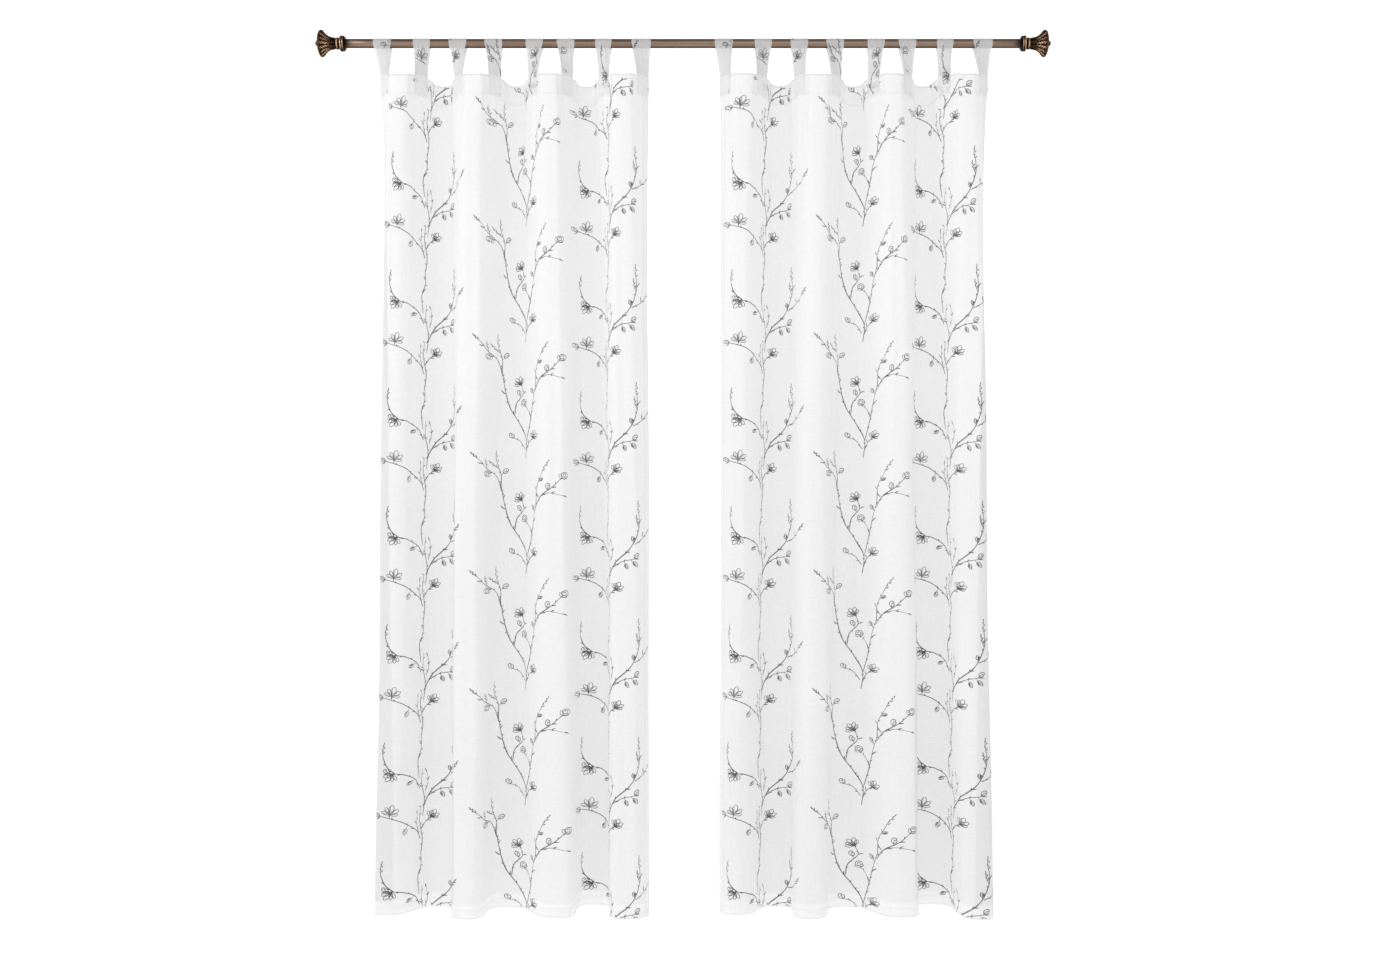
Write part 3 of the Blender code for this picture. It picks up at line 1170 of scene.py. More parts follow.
class Ribbons:
    """Gathers strokes as narrow ribbons that lie on a surface."""

    LONGEST_STEP = 3.0

    def __init__(self, surface: Callable[[np.ndarray, np.ndarray], np.ndarray]) -> None:
        """Starts with no ribbons.

        Args:
            surface: Turns flat places, across and along, into points in space.
        """
        self.surface = surface
        self.flat: list[np.ndarray] = []
        self.faces: list[tuple[int, int, int, int]] = []
        self.tones: list[float] = []
        self.count = 0

    def add(self, points: np.ndarray, widths: np.ndarray, tone: float) -> None:
        """Adds a ribbon.

        Args:
            points: Its middle line on the flat surface.
            widths: Its width at each point.
            tone: How pale it is.
        """
        steps = np.hypot(*np.diff(points, axis=0).T)
        along = np.concatenate([[0.0], np.cumsum(steps)])
        if along[-1] < 0.5:
            return
        count = max(2, int(math.ceil(along[-1] / self.LONGEST_STEP)) + 1)
        places = np.linspace(0, along[-1], count)
        line = np.column_stack([np.interp(places, along, points[:, axis]) for axis in (0, 1)])
        half = np.interp(places, along, widths) / 2
        heading = np.gradient(line, axis=0)
        heading /= np.maximum(np.hypot(heading[:, 0], heading[:, 1]), 1e-6)[:, None]
        beside = np.column_stack([-heading[:, 1], heading[:, 0]]) * half[:, None]
        self.flat += [line + beside, line - beside]
        for step in range(count - 1):
            left, right = self.count + step, self.count + count + step
            self.faces.append((left, right, right + 1, left + 1))
        self.tones += [tone] * (2 * count)
        self.count += 2 * count

    def build(self, name: str, finish: bpy.types.Material) -> bpy.types.Object:
        """Makes all the ribbons one piece.

        Args:
            name: The piece's name.
            finish: Its material.

        Returns:
            The new object.
        """
        flat = np.vstack(self.flat)
        piece = new_piece(name, self.surface(flat[:, 0], flat[:, 1]), self.faces, finish)
        set_values(piece, InkFinish.TONE, np.array(self.tones))
        return piece


class Stitches:
    """Gathers stitches of sewing thread as short rounded bars."""

    LENGTH = 2.5
    PITCH = 3.4
    RADIUS = 0.26
    RING = ((-0.5, 0.35), (-0.3, 1.0), (0.3, 1.0), (0.5, 0.35))
    SIDES = 5

    def __init__(self) -> None:
        """Starts with none."""
        self.points: list[tuple[float, float, float]] = []
        self.faces: list[tuple[int, ...]] = []

    def sew(self, line: np.ndarray, out: np.ndarray) -> None:
        """Adds a row of stitches.

        Args:
            line: Points along the seam, in millimetres.
            out: The direction away from the cloth at each point.
        """
        along = np.concatenate([[0.0], np.cumsum(np.linalg.norm(np.diff(line, axis=0), axis=1))])
        for place in np.arange(self.PITCH / 2, along[-1] - self.PITCH / 2, self.PITCH):
            ends = [
                np.array([np.interp(place + shift, along, line[:, axis]) for axis in range(3)])
                for shift in (-self.LENGTH / 2, self.LENGTH / 2)
            ]
            up = np.array([np.interp(place, along, out[:, axis]) for axis in range(3)])
            self._bar(ends[0], ends[1], up)

    def _bar(self, start: np.ndarray, end: np.ndarray, up: np.ndarray) -> None:
        """Adds one stitch.

        Args:
            start: Where it starts.
            end: Where it ends.
            up: The direction away from the cloth.
        """
        heading = end - start
        beside = np.cross(heading, up)
        beside /= max(np.linalg.norm(beside), 1e-6)
        rise = np.cross(beside, heading)
        rise /= max(np.linalg.norm(rise), 1e-6)
        first = len(self.points)
        middle = (start + end) / 2
        for along, swell in self.RING:
            for side in range(self.SIDES):
                angle = 2 * math.pi * side / self.SIDES
                spread = self.RADIUS * swell
                point = middle + heading * along + spread * (
                    math.cos(angle) * beside + 0.8 * math.sin(angle) * rise
                )
                self.points.append(tuple(point))
        for ring in range(len(self.RING) - 1):
            for side in range(self.SIDES):
                this, beyond = first + ring * self.SIDES, first + (ring + 1) * self.SIDES
                step = (side + 1) % self.SIDES
                self.faces.append((this + side, this + step, beyond + step, beyond + side))
        last = first + (len(self.RING) - 1) * self.SIDES
        self.faces.append(tuple(range(first + self.SIDES - 1, first - 1, -1)))
        self.faces.append(tuple(range(last, last + self.SIDES)))

    def build(self, name: str, finish: bpy.types.Material) -> bpy.types.Object:
        """Makes all the stitches one piece."""
        return new_piece(name, np.array(self.points), self.faces, finish)


# Cloth


@dataclass(frozen=True)
class Drape:
    """The surface of one hung panel.

    A column is a place across the cloth: the whole part counts folds and the rest is the share of
    the way to the next fold.
    """

    side: Side
    left: float
    phase: float
    folds: tuple[Fold, ...]
    creases: tuple[Crease, ...]

    FINE = 3200
    RULED_DROP = 0.5
    TRUE_SHARE = 0.3
    PLEATS = 7.0

    @property
    def first(self) -> float:
        """The column at the left edge."""
        return EDGE_SHARE

    @property
    def last(self) -> float:
        """The column at the right edge."""
        return len(self.folds) - 1 - EDGE_SHARE

    def _values(self, name: str) -> np.ndarray:
        """One field of every fold."""
        return np.array([getattr(fold, name) for fold in self.folds], dtype=float)

    def _fold_place(self, index: np.ndarray, fallen: np.ndarray) -> tuple[np.ndarray, ...]:
        """Works out where some folds stand at some drops.

        Args:
            index: Which folds.
            fallen: Drops from 0 at the heading to 1 at the hem.

        Returns:
            x, y and the flank's swing.
        """
        far = EARLY_SHARE * (1 - np.exp(-fallen / EARLY_DROP)) + (1 - EARLY_SHARE) * fallen
        sway = np.sin(2 * np.pi * WANDER_TURNS * fallen + 2.1 * index + self.phase)
        blended = []
        for name in ("x", "y", "flank"):
            top, hem = self._values(f"{name}_top")[index], self._values(f"{name}_hem")[index]
            blended.append(top + (hem - top) * far)
        blended[0] = blended[0] + WANDER * np.sin(np.pi * fallen) * sway
        return tuple(blended)

    def across(self, column: np.ndarray, fallen: np.ndarray) -> tuple[np.ndarray, np.ndarray]:
        """Works out where some columns lie at some drops.

        Args:
            column: Places across the cloth.
            fallen: Drops from 0 at the heading to 1 at the hem.

        Returns:
            x and y.
        """
        index = np.clip(np.floor(column).astype(int), 0, len(self.folds) - 2)
        share = column - index
        x, y, flank = self._fold_place(index, fallen)
        next_x, next_y, _ = self._fold_place(index + 1, fallen)
        turn = 2 * np.pi * share
        ease = FOOT_EASE * np.exp(-fallen / FOOT_EASE_DROP)
        along = x + (next_x - x) * share + flank * np.sin(turn) + ease * np.sin(2 * turn)
        return self.left + along, y + (next_y - y) * (share - np.sin(turn) / (2 * np.pi))

    def top_and_hem(self, column: np.ndarray) -> tuple[np.ndarray, np.ndarray]:
        """Works out how high some columns start and end.

        Args:
            column: Places across the cloth.

        Returns:
            z of the top edge and z of the hem.
        """
        index = np.clip(np.floor(column).astype(int), 0, len(self.folds) - 2)
        share = column - index
        sags, lifts = self._values("top_sag"), self._values("hem_lift")
        sag = np.where(share < 0.5, sags[index], sags[index + 1]) * np.cos(np.pi * share) ** 2
        smooth = share * share * (3 - 2 * share)
        lift = lifts[index] + (lifts[index + 1] - lifts[index]) * smooth
        return PANEL_TOP - sag, PANEL_HEM + lift

    def _lie(self, column: np.ndarray, z: np.ndarray) -> tuple[np.ndarray, np.ndarray]:
        """Places the cloth without its creases.

        Args:
            column: Places across the cloth.
            z: Heights.

        Returns:
            x and y.
        """
        top, hem = self.top_and_hem(column)
        held = top - TAB_FOOT
        return self.across(column, np.clip((held - z) / (held - hem), 0.0, 1.0))

    def _relief(self, column: np.ndarray, z: np.ndarray) -> np.ndarray:
        """Adds up the creases, the fan of small pleats under each tab and a slow unevenness.

        Args:
            column: Places across the cloth.
            z: Heights.

        Returns:
            How far the cloth stands out at each place.
        """
        top, hem = self.top_and_hem(column)
        down = np.clip(top - z, 0.0, top - hem)
        out = np.zeros_like(down)
        for crease in self.creases:
            middle = crease.column + crease.lean * down / (top - hem)
            window = eased(crease.start - 60, crease.start + 120, down)
            if crease.end < PANEL_TOP - PANEL_HEM:
                window *= 1 - eased(crease.end - 260, crease.end + 20, down)
            out += crease.height * window * np.exp(-(((column - middle) / crease.width) ** 2))
        from_tab = column - np.floor(column) - 0.5
        fan = np.cos(2 * np.pi * from_tab * self.PLEATS) * np.exp(-((from_tab / 0.24) ** 2))
        out += 1.5 * fan * eased(15, 70, down) * np.exp(-down / 240)
        slow = np.sin(column * 9.1 + down * 0.0045 + self.phase)
        slow *= np.sin(column * 3.3 - down * 0.0031)
        quick = np.sin(column * 21.0 - down * 0.0062 + 2 * self.phase)
        return out + eased(20, 400, down) * (1.3 * slow + 0.45 * quick)

    def facing(self, column: np.ndarray, z: np.ndarray) -> np.ndarray:
        """Finds the level direction in which the cloth's front looks.

        Args:
            column: Places across the cloth.
            z: Heights.

        Returns:
            One direction for each place.
        """
        step = 0.004
        x_before, y_before = self._lie(column - step, z)
        x_after, y_after = self._lie(column + step, z)
        dx, dy = x_after - x_before, y_after - y_before
        length = np.hypot(dx, dy)
        return np.stack([dy / length, -dx / length, np.zeros_like(dx)], axis=-1)

    def surface(
        self, column: np.ndarray, z: np.ndarray, lift: np.ndarray | float = 0.0
    ) -> np.ndarray:
        """Points of the cloth.

        Args:
            column: Places across it.
            z: Heights.
            lift: How far before its front face the points stand.

        Returns:
            One row for each point, in millimetres.
        """
        x, y = self._lie(column, z)
        out = self._relief(column, z) + lift
        return np.stack([x, y, z], axis=-1) + self.facing(column, z) * out[..., None]

    def ruler(self) -> tuple[np.ndarray, np.ndarray, np.ndarray]:
        """Measures the panel from its left edge at half drop.

        The print's own width grows on across the flanks of the folds, where the hung width doesn't.

        Returns:
            Columns, the width of cloth up to each and the print's width up to each.
        """
        columns = np.linspace(self.first, self.last, self.FINE)
        x, y = self.across(columns, np.full(self.FINE, self.RULED_DROP))
        dx, dy = np.diff(x), np.diff(y)
        cloth = np.concatenate([[0.0], np.cumsum(np.hypot(dx, dy))])
        hung = x.max() - x.min()
        steps = (1 - self.TRUE_SHARE) * np.maximum(dx, 0)
        steps += self.TRUE_SHARE * np.hypot(dx, dy) * hung / cloth[-1]
        printed = np.concatenate([[0.0], np.cumsum(steps)])
        return columns, cloth, printed * hung / printed[-1]


@dataclass
class Curtain:
    """One panel with its print, its tabs and its stitching."""

    drape: Drape
    finishes: Finishes
    columns: int = 300
    rows: int = 176
    turned_columns: int = 6
    heading_rows: int = 8
    hem_rows: int = 5
    near_top_rows: int = 22
    near_top: float = 0.06
    ink_low: Point = (1.5, 2.0)
    ink_high: Point = (1.5, 14.0)
    tab_ink_half: float = 19.0
    tab_ink_end: float = 2.0
    tab_ink_paler: float = 0.3
    tab_spacing: float = 100.0

    @property
    def side(self) -> str:
        """The panel's side as a word."""
        return self.drape.side.value

    def _column_line(self) -> tuple[np.ndarray, np.ndarray, np.ndarray]:
        """Lays out the columns of points, with the side hems turned back.

        Returns:
            Each one's column, its layer and its place on the flat cloth.
        """
        turned_layer = np.ones(self.turned_columns)
        columns, cloth, _ = self.drape.ruler()
        spread = np.linspace(0, cloth[-1], self.columns)
        turned = np.linspace(SIDE_HEM_WIDTH, 0, self.turned_columns)
        places = np.concatenate([turned, spread, cloth[-1] - turned[::-1]])
        layers = np.concatenate([turned_layer, np.zeros(self.columns), turned_layer])
        flat = np.concatenate([-turned, spread, cloth[-1] + turned[::-1]])
        return np.interp(places, cloth, columns), layers, flat

    def _row_line(self) -> tuple[np.ndarray, np.ndarray, np.ndarray]:
        """Lays out the rows of points, with the heading and the hem turned back.

        Returns:
            Each one's share of the drop, its millimetres above that, and its layer.
        """
        heading = np.linspace(-HEADING_DEPTH, 0, self.heading_rows)
        hem = np.linspace(0, HEM_DEPTH, self.hem_rows)
        above = np.linspace(0, self.near_top, self.near_top_rows)[:-1]
        below = np.linspace(self.near_top, 1.0, self.rows - len(above))
        main = np.concatenate([above, below])
        shares = np.concatenate([0 * heading, main, np.ones(self.hem_rows)])
        offsets = np.concatenate([heading, 0 * main, hem])
        layers = np.concatenate([np.ones(len(heading)), 0 * main, np.ones(len(hem))])
        return shares, offsets, layers

    def cloth(self) -> bpy.types.Object:
        """The panel as one sheet, turned back at its heading, its side edges and its hem.

        Returns:
            The new object.
        """
        column, column_layer, flat = self._column_line()
        share, offset, row_layer = self._row_line()
        columns, shares = np.meshgrid(column, share)
        offsets = np.repeat(offset[:, None], len(column), axis=1)
        top, hem = self.drape.top_and_hem(columns)
        z = top + (hem - top) * shares + offsets
        back = PLY * row_layer[:, None] + 0.9 * PLY * column_layer[None, :]
        points = self.drape.surface(columns, z, -back)
        turned = row_layer[:, None] == 1
        down = np.where(turned, z - top, top - z)
        down = np.where(turned & (shares > 0.5), (top - hem) + offsets, down)
        faces = grid_faces(len(share), len(column))
        name = f"panel_{self.side}_cloth"
        piece = new_piece(name, points.reshape(-1, 3), faces, self.finishes.voile)
        flats = np.stack([np.broadcast_to(flat, z.shape), -down], axis=-1)
        set_flat_map(piece, flats.reshape(-1, 2))
        # Marks where the cloth lies double, for the voile's painted light that makes those layers whiter.
        from_edge = np.minimum(flat, flat[0] + flat[-1] - flat)[None, :]
        doubled = (top - z < HEADING_DEPTH + 1) | (z - hem < HEM_DEPTH + 1)
        doubled |= from_edge < SIDE_HEM_WIDTH
        set_values(piece, VoileFinish.DOUBLED, doubled.ravel())
        return piece

    def flat_size(self) -> tuple[float, float]:
        """The panel as it was cut.

        Returns:
            Its width and its length, in metres.
        """
        _, cloth, _ = self.drape.ruler()
        length = PANEL_TOP - PANEL_HEM + HEADING_DEPTH + HEM_DEPTH
        return (cloth[-1] + 2 * SIDE_HEM_WIDTH) * MM, length * MM

    def ink(self) -> bpy.types.Object:
        """The print as ribbons that lie on the cloth's front.

        Returns:
            The new object.
        """
        columns, cloth, printed = self.drape.ruler()

        def lay(places: np.ndarray, ups: np.ndarray) -> np.ndarray:
            """Lays flat places on the hung cloth.

            Args:
                places: Millimetres across the flat cloth.
                ups: Heights above its hem.

            Returns:
                Points in space.
            """
            column = np.interp(places, cloth, columns)
            _, hem = self.drape.top_and_hem(column)
            return self.drape.surface(column, hem + ups, INK_LIFT)

        height = PANEL_TOP - PANEL_HEM
        ribbons = Ribbons(lay)
        low, high = self.ink_low, (printed[-1] - self.ink_high[0], height - self.ink_high[1])
        for stroke in printed_strokes(height):
            for part in stroke.parts_inside(low, high):
                across = np.interp(part.points[:, 0], printed, cloth)
                ribbons.add(np.column_stack([across, part.points[:, 1]]), part.widths, part.tone)
        return ribbons.build(f"panel_{self.side}_print", self.finishes.ink)

    def _seam(self, stitches: Stitches, column: np.ndarray, z: np.ndarray, lift: float) -> None:
        """Sews a row of stitches on the cloth."""
        out = self.drape.facing(column, z)
        stitches.sew(self.drape.surface(column, z, lift), out)

    def seams(self) -> bpy.types.Object:
        """The stitching of the heading, the hem, the side hems and the tabs' feet.

        Returns:
            The new object.
        """
        columns, cloth, _ = self.drape.ruler()
        stitches = Stitches()
        level = np.interp(np.linspace(2, cloth[-1] - 2, 700), cloth, columns)
        top, hem = self.drape.top_and_hem(level)
        for z in (top - HEADING_DEPTH + 3, top - 4, hem + HEM_DEPTH - 3):
            self._seam(stitches, level, z, THREAD_LIFT)
        for place in (SIDE_HEM_WIDTH - 2.5, cloth[-1] - SIDE_HEM_WIDTH + 2.5):
            column = np.full(400, np.interp(place, cloth, columns))
            top, hem = self.drape.top_and_hem(column)
            z = top + (hem - top) * np.linspace(0.003, 0.997, 400)
            self._seam(stitches, column, z, THREAD_LIFT)
        for index in range(len(TABS)):
            for lift in (TabLoop.FRONT_LIFT + THREAD_LIFT, TabLoop.BACK_LIFT - THREAD_LIFT):
                self._foot_seam(stitches, index, lift)
        return stitches.build(f"panel_{self.side}_stitching", self.finishes.thread)

    def _foot_seam(self, stitches: Stitches, index: int, lift: float) -> None:
        """Sews a box of stitches round one tab's foot.

        Args:
            stitches: What gathers them.
            index: Which tab.
            lift: How far before the panel's front the seam lies.
        """
        reach, count = FOOT_HALF * 0.86, 24
        upper, lower = 5.0, TAB_SEWN - 3
        middle = index + 0.5
        box = (
            (-reach, reach, upper, upper),
            (-reach, reach, lower, lower),
            (-reach, -reach, upper, lower),
            (reach, reach, upper, lower),
        )
        for start, end, high, low in box:
            column = middle + np.linspace(start, end, count)
            top, _ = self.drape.top_and_hem(column)
            self._seam(stitches, column, top - np.linspace(high, low, count), lift)

    def build(self) -> None:
        """Makes the whole curtain and ties it to the model."""
        panel, ink, seams = self.cloth(), self.ink(), self.seams()
        loops = [TabLoop(self.drape, index, tab, self.finishes) for index, tab in enumerate(TABS)]
        tabs = [loop.build() for loop in loops]
        tab_ink = self._tab_ink(loops)
        for piece in (panel, ink, seams, tab_ink, *tabs):
            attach(piece, "root")
            report(piece)
        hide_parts(f"panel_{self.side}")
        self.flat_size()

    def _tab_ink(self, loops: Sequence["TabLoop"]) -> bpy.types.Object:
        """The print on the tabs, each cut from its own place on the printed cloth.

        Args:
            loops: The panel's tabs.

        Returns:
            The new object.
        """
        spacing = self.tab_spacing

        def lay(places: np.ndarray, ups: np.ndarray) -> np.ndarray:
            """Lays flat places on the tabs.

            Args:
                places: Millimetres across, with the tabs' middles one spacing apart.
                ups: Millimetres up each strip.

            Returns:
                Points in space.
            """
            index = np.clip(np.round(places / spacing).astype(int), 0, len(loops) - 1)
            points = np.zeros((len(places), 3))
            for loop in loops:
                mine = index == loop.index
                points[mine] = loop.surface(places[mine] - spacing * loop.index, ups[mine])
            return points

        gathered = Ribbons(lay)
        strokes = printed_strokes(SPRAY_REPEAT * 5)
        for loop, (across, up) in zip(loops, TAB_CUTS):
            low = (across - self.tab_ink_half, up + self.tab_ink_end)
            high = (across + self.tab_ink_half, up + loop.length - self.tab_ink_end)
            for stroke in strokes:
                for part in stroke.parts_inside(low, high):
                    moved = part.moved(spacing * loop.index - across, -up)
                    tone = moved.tone + self.tab_ink_paler
                    gathered.add(moved.points, moved.widths, tone)
        return gathered.build(f"tabs_{self.side}_print", self.finishes.ink)


@dataclass(frozen=True)
class TabLoop:
    """One tab: a strip round the rod whose ends are sewn to both sides of the heading."""

    drape: Drape
    index: int
    tab: Tab
    finishes: Finishes

    FRONT_LIFT = 0.6
    BACK_LIFT = -1.9
    COLUMNS = 25
    FOOT_ROWS = 7
    LEG_ROWS = 24
    ARC_ROWS = 26
    ROUND = ROD_RADIUS + 0.5
    FLAT_SPACING = 53.0

    def _foot(self, across: np.ndarray, lift: float) -> np.ndarray:
        """Lays one end of the strip on the panel, from its top edge down.

        Args:
            across: Shares of the strip's width, from -0.5 to 0.5.
            lift: How far before the panel's front it lies.

        Returns:
            Its points by row and column.
        """
        rows = np.linspace(0, TAB_SEWN, self.FOOT_ROWS)
        down, beside = np.meshgrid(rows, across, indexing="ij")
        column = self.index + 0.5 + 2 * FOOT_HALF * beside
        top, _ = self.drape.top_and_hem(column)
        return self.drape.surface(column, top - down, lift)

    def _touch(self, foot: np.ndarray, side: int) -> np.ndarray:
        """Finds where one leg's threads meet the rod.

        Args:
            foot: The points at which the threads leave the panel.
            side: 1 for the front leg and -1 for the back one.

        Returns:
            Their angles round the rod, from +Y over the top.
        """
        reach = np.hypot(foot[:, 1], foot[:, 2])
        heading = np.arctan2(foot[:, 2], foot[:, 1]) % (2 * np.pi)
        return heading - side * np.arccos(self.ROUND / reach)

    def _leg(self, foot: np.ndarray, top: np.ndarray, across: np.ndarray, out: int) -> np.ndarray:
        """Runs one leg up to the rod, a little bowed out and crinkled.

        Args:
            foot: The points at which it leaves the panel.
            top: The points at which it meets the rod.
            across: Shares of the strip's width, from -0.5 to 0.5.
            out: -1 for the front leg and 1 for the back one.

        Returns:
            Its points by row and column, from the foot up.
        """
        shares = np.linspace(0, 1, self.LEG_ROWS + 2)[1:-1, None, None]
        line = foot + (top - foot) * shares
        swell = np.sin(np.pi * shares[..., 0])
        ripple = 0.9 * np.cos(3 * np.pi * across + self.index)
        line[..., 0] -= 2.6 * swell * across
        crinkle = self._crinkle(shares[..., 0], across)
        line[..., 1] += out * (swell * (1.4 + ripple) + swell**0.6 * crinkle)
        return line

    def _crinkle(self, share: np.ndarray, across: np.ndarray) -> np.ndarray:
        """Small creases that fan out from the rod and fade towards the foot.

        Args:
            share: Shares of the way up the leg.
            across: Shares of the strip's width, from -0.5 to 0.5.

        Returns:
            How far they stand out.
        """
        seed = 1.7 * self.index + self.drape.phase
        fan = across * (15 + 9 * share) + seed
        creases = 0.8 * np.cos(fan + 2.2 * np.sin(3.1 * share + seed))
        slants = 0.5 * np.cos(11 * across - 17 * share + 2.3 * seed)
        return (creases + slants) * (0.3 + 1.3 * share)

    @cached_property
    def grid(self) -> np.ndarray:
        """The whole strip: up its front, over the rod and down its back.

        Returns:
            Its points by row and column.
        """
        across = np.linspace(-0.5, 0.5, self.COLUMNS)
        front = self._foot(across, self.FRONT_LIFT)[::-1]
        back = self._foot(across, self.BACK_LIFT)
        start = self._touch(front[-1], 1)
        end = self._touch(back[0], -1) - 2 * np.pi
        angles = start + (end - start) * np.linspace(0, 1, self.ARC_ROWS)[:, None]
        middle = self.drape.left + self.tab.x
        rod_x = np.broadcast_to(middle + across * self.tab.width, angles.shape)
        fade = np.sin(np.linspace(0, np.pi, self.ARC_ROWS))[:, None] ** 0.5
        ridge = np.cos(across * 19 + 2.5 * angles + 1.9 * self.index)
        ridge += np.cos(across * 31 - self.index)
        radius = self.ROUND + 0.3 * fade * (ridge + 1)
        arc = np.stack([rod_x, radius * np.cos(angles), radius * np.sin(angles)], axis=-1)
        up = self._leg(front[-1], arc[0], across, -1)
        down = self._leg(back[0], arc[-1], across, 1)[::-1]
        return np.concatenate([front, up, arc, down, back])

    @cached_property
    def lengths(self) -> np.ndarray:
        """How far along the strip each row lies."""
        middle = self.grid[:, self.COLUMNS // 2]
        return np.concatenate([[0.0], np.cumsum(np.linalg.norm(np.diff(middle, axis=0), axis=1))])

    @property
    def length(self) -> float:
        """The strip's length."""
        return float(self.lengths[-1])

    def surface(self, places: np.ndarray, ups: np.ndarray) -> np.ndarray:
        """Lays flat places just outside the strip.

        Args:
            places: Millimetres across it from its middle.
            ups: Millimetres along it from its front end.

        Returns:
            Points in space.
        """
        grid, lengths = self.grid, self.lengths
        rows = np.interp(ups, lengths, np.arange(len(lengths)))
        columns = np.clip(places / TAB_WIDTH + 0.5, 0, 1) * (self.COLUMNS - 1)
        row = np.clip(np.floor(rows).astype(int), 0, len(lengths) - 2)
        column = np.clip(np.floor(columns).astype(int), 0, self.COLUMNS - 2)
        down, over = (rows - row)[:, None], (columns - column)[:, None]
        corner, beside = grid[row, column], grid[row, column + 1]
        above, opposite = grid[row + 1, column], grid[row + 1, column + 1]
        points = (corner * (1 - over) + beside * over) * (1 - down)
        points += (above * (1 - over) + opposite * over) * down
        out = np.cross(above - corner, beside - corner)
        out /= np.maximum(np.linalg.norm(out, axis=1), 1e-6)[:, None]
        return points - out * INK_LIFT

    def build(self) -> bpy.types.Object:
        """Makes the tab and hides the solid that it replaces.

        Returns:
            The new object.
        """
        grid, lengths = self.grid, self.lengths
        rows = grid.shape[0]
        side = self.drape.side.value
        piece = new_piece(
            f"tab_{side}_{self.index + 1}_strip",
            grid.reshape(-1, 3),
            grid_faces(rows, self.COLUMNS),
            self.finishes.tab_voile,
        )
        across = np.linspace(0, TAB_WIDTH, self.COLUMNS)
        flats = np.stack(np.broadcast_arrays(across[None, :], lengths[:, None]), axis=-1)
        shift = np.array([self.FLAT_SPACING * self.index, 0.0])
        set_flat_map(piece, flats.reshape(-1, 2) + shift)
        # Marks the sewn feet, where the strip lies on the heading, for the voile's painted light that
        # makes them whiter.
        sewn = np.zeros((rows, self.COLUMNS))
        sewn[: self.FOOT_ROWS] = 1.0
        sewn[-self.FOOT_ROWS :] = 1.0
        set_values(piece, VoileFinish.DOUBLED, sewn.ravel())
        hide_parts(f"tab_{side}_{self.index + 1}")
        self.length * MM
        return piece


# Rod and finials


@dataclass(frozen=True)
class Rod:
    """The bronze tube."""

    finishes: Finishes
    sides: int = 96
    steps: int = 24

    def build(self) -> None:
        """Makes the tube and ties it to the model."""
        end = ROD_HALF_SHOWN + ROD_TUCKED_IN
        profile = np.array([(x, ROD_RADIUS - 0.05) for x in np.linspace(0, 2 * end, self.steps)])
        flat_relief = np.zeros((self.steps, self.sides))
        piece = turned_piece("rod_tube", profile, flat_relief, -end, 1, self.finishes.tube)
        angle = 2 * np.pi * np.arange(self.sides) / self.sides
        # Painted shade, strongest along the tube's top and underside.
        browned = 0.95 * np.abs(np.sin(angle)) ** 5
        set_values(piece, BrushedBronzeFinish.PAINTED_EDGE_SHADE, np.tile(browned, self.steps))
        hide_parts("rod")
        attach(piece, "root")
        report(piece)


def turned_piece(
    name: str,
    profile: np.ndarray,
    relief: np.ndarray,
    start: float,
    outward: int,
    finish: bpy.types.Material,
    bored: bool = False,
) -> bpy.types.Object:
    """A turned piece along X, with low relief on it.

    Args:
        name: Its name.
        profile: Distance along the axis and radius of each ring, one row each.
        relief: How far each point of each ring stands out, in millimetres.
        start: x where the profile starts.
        outward: 1 if it grows towards +X and -1 if towards -X.
        finish: Its material.
        bored: Whether the last ring joins the first, and not a flat end.

    Returns:
        The new object.
    """
    rings, sides = relief.shape
    slope = np.gradient(profile, axis=0)
    slope /= np.maximum(np.hypot(slope[:, 0], slope[:, 1]), 1e-6)[:, None]
    along = profile[:, 0, None] - slope[:, 1, None] * relief
    radius = profile[:, 1, None] + slope[:, 0, None] * relief
    angle = 2 * np.pi * np.arange(sides) / sides
    points = np.stack(
        [start + outward * along, radius * np.cos(angle), radius * np.sin(angle)], axis=-1
    ).reshape(-1, 3)
    faces: list[tuple[int, ...]] = []
    for ring in range(rings if bored else rings - 1):
        beyond = (ring + 1) % rings
        for side in range(sides):
            step = (side + 1) % sides
            here, there = ring * sides, beyond * sides
            faces.append((here + side, here + step, there + step, there + side))
    if not bored:
        faces.append(tuple(range(sides - 1, -1, -1)))
        faces.append(tuple(range((rings - 1) * sides, rings * sides)))
    if outward < 0:
        faces = [face[::-1] for face in faces]
    return new_piece(name, points, faces, finish)


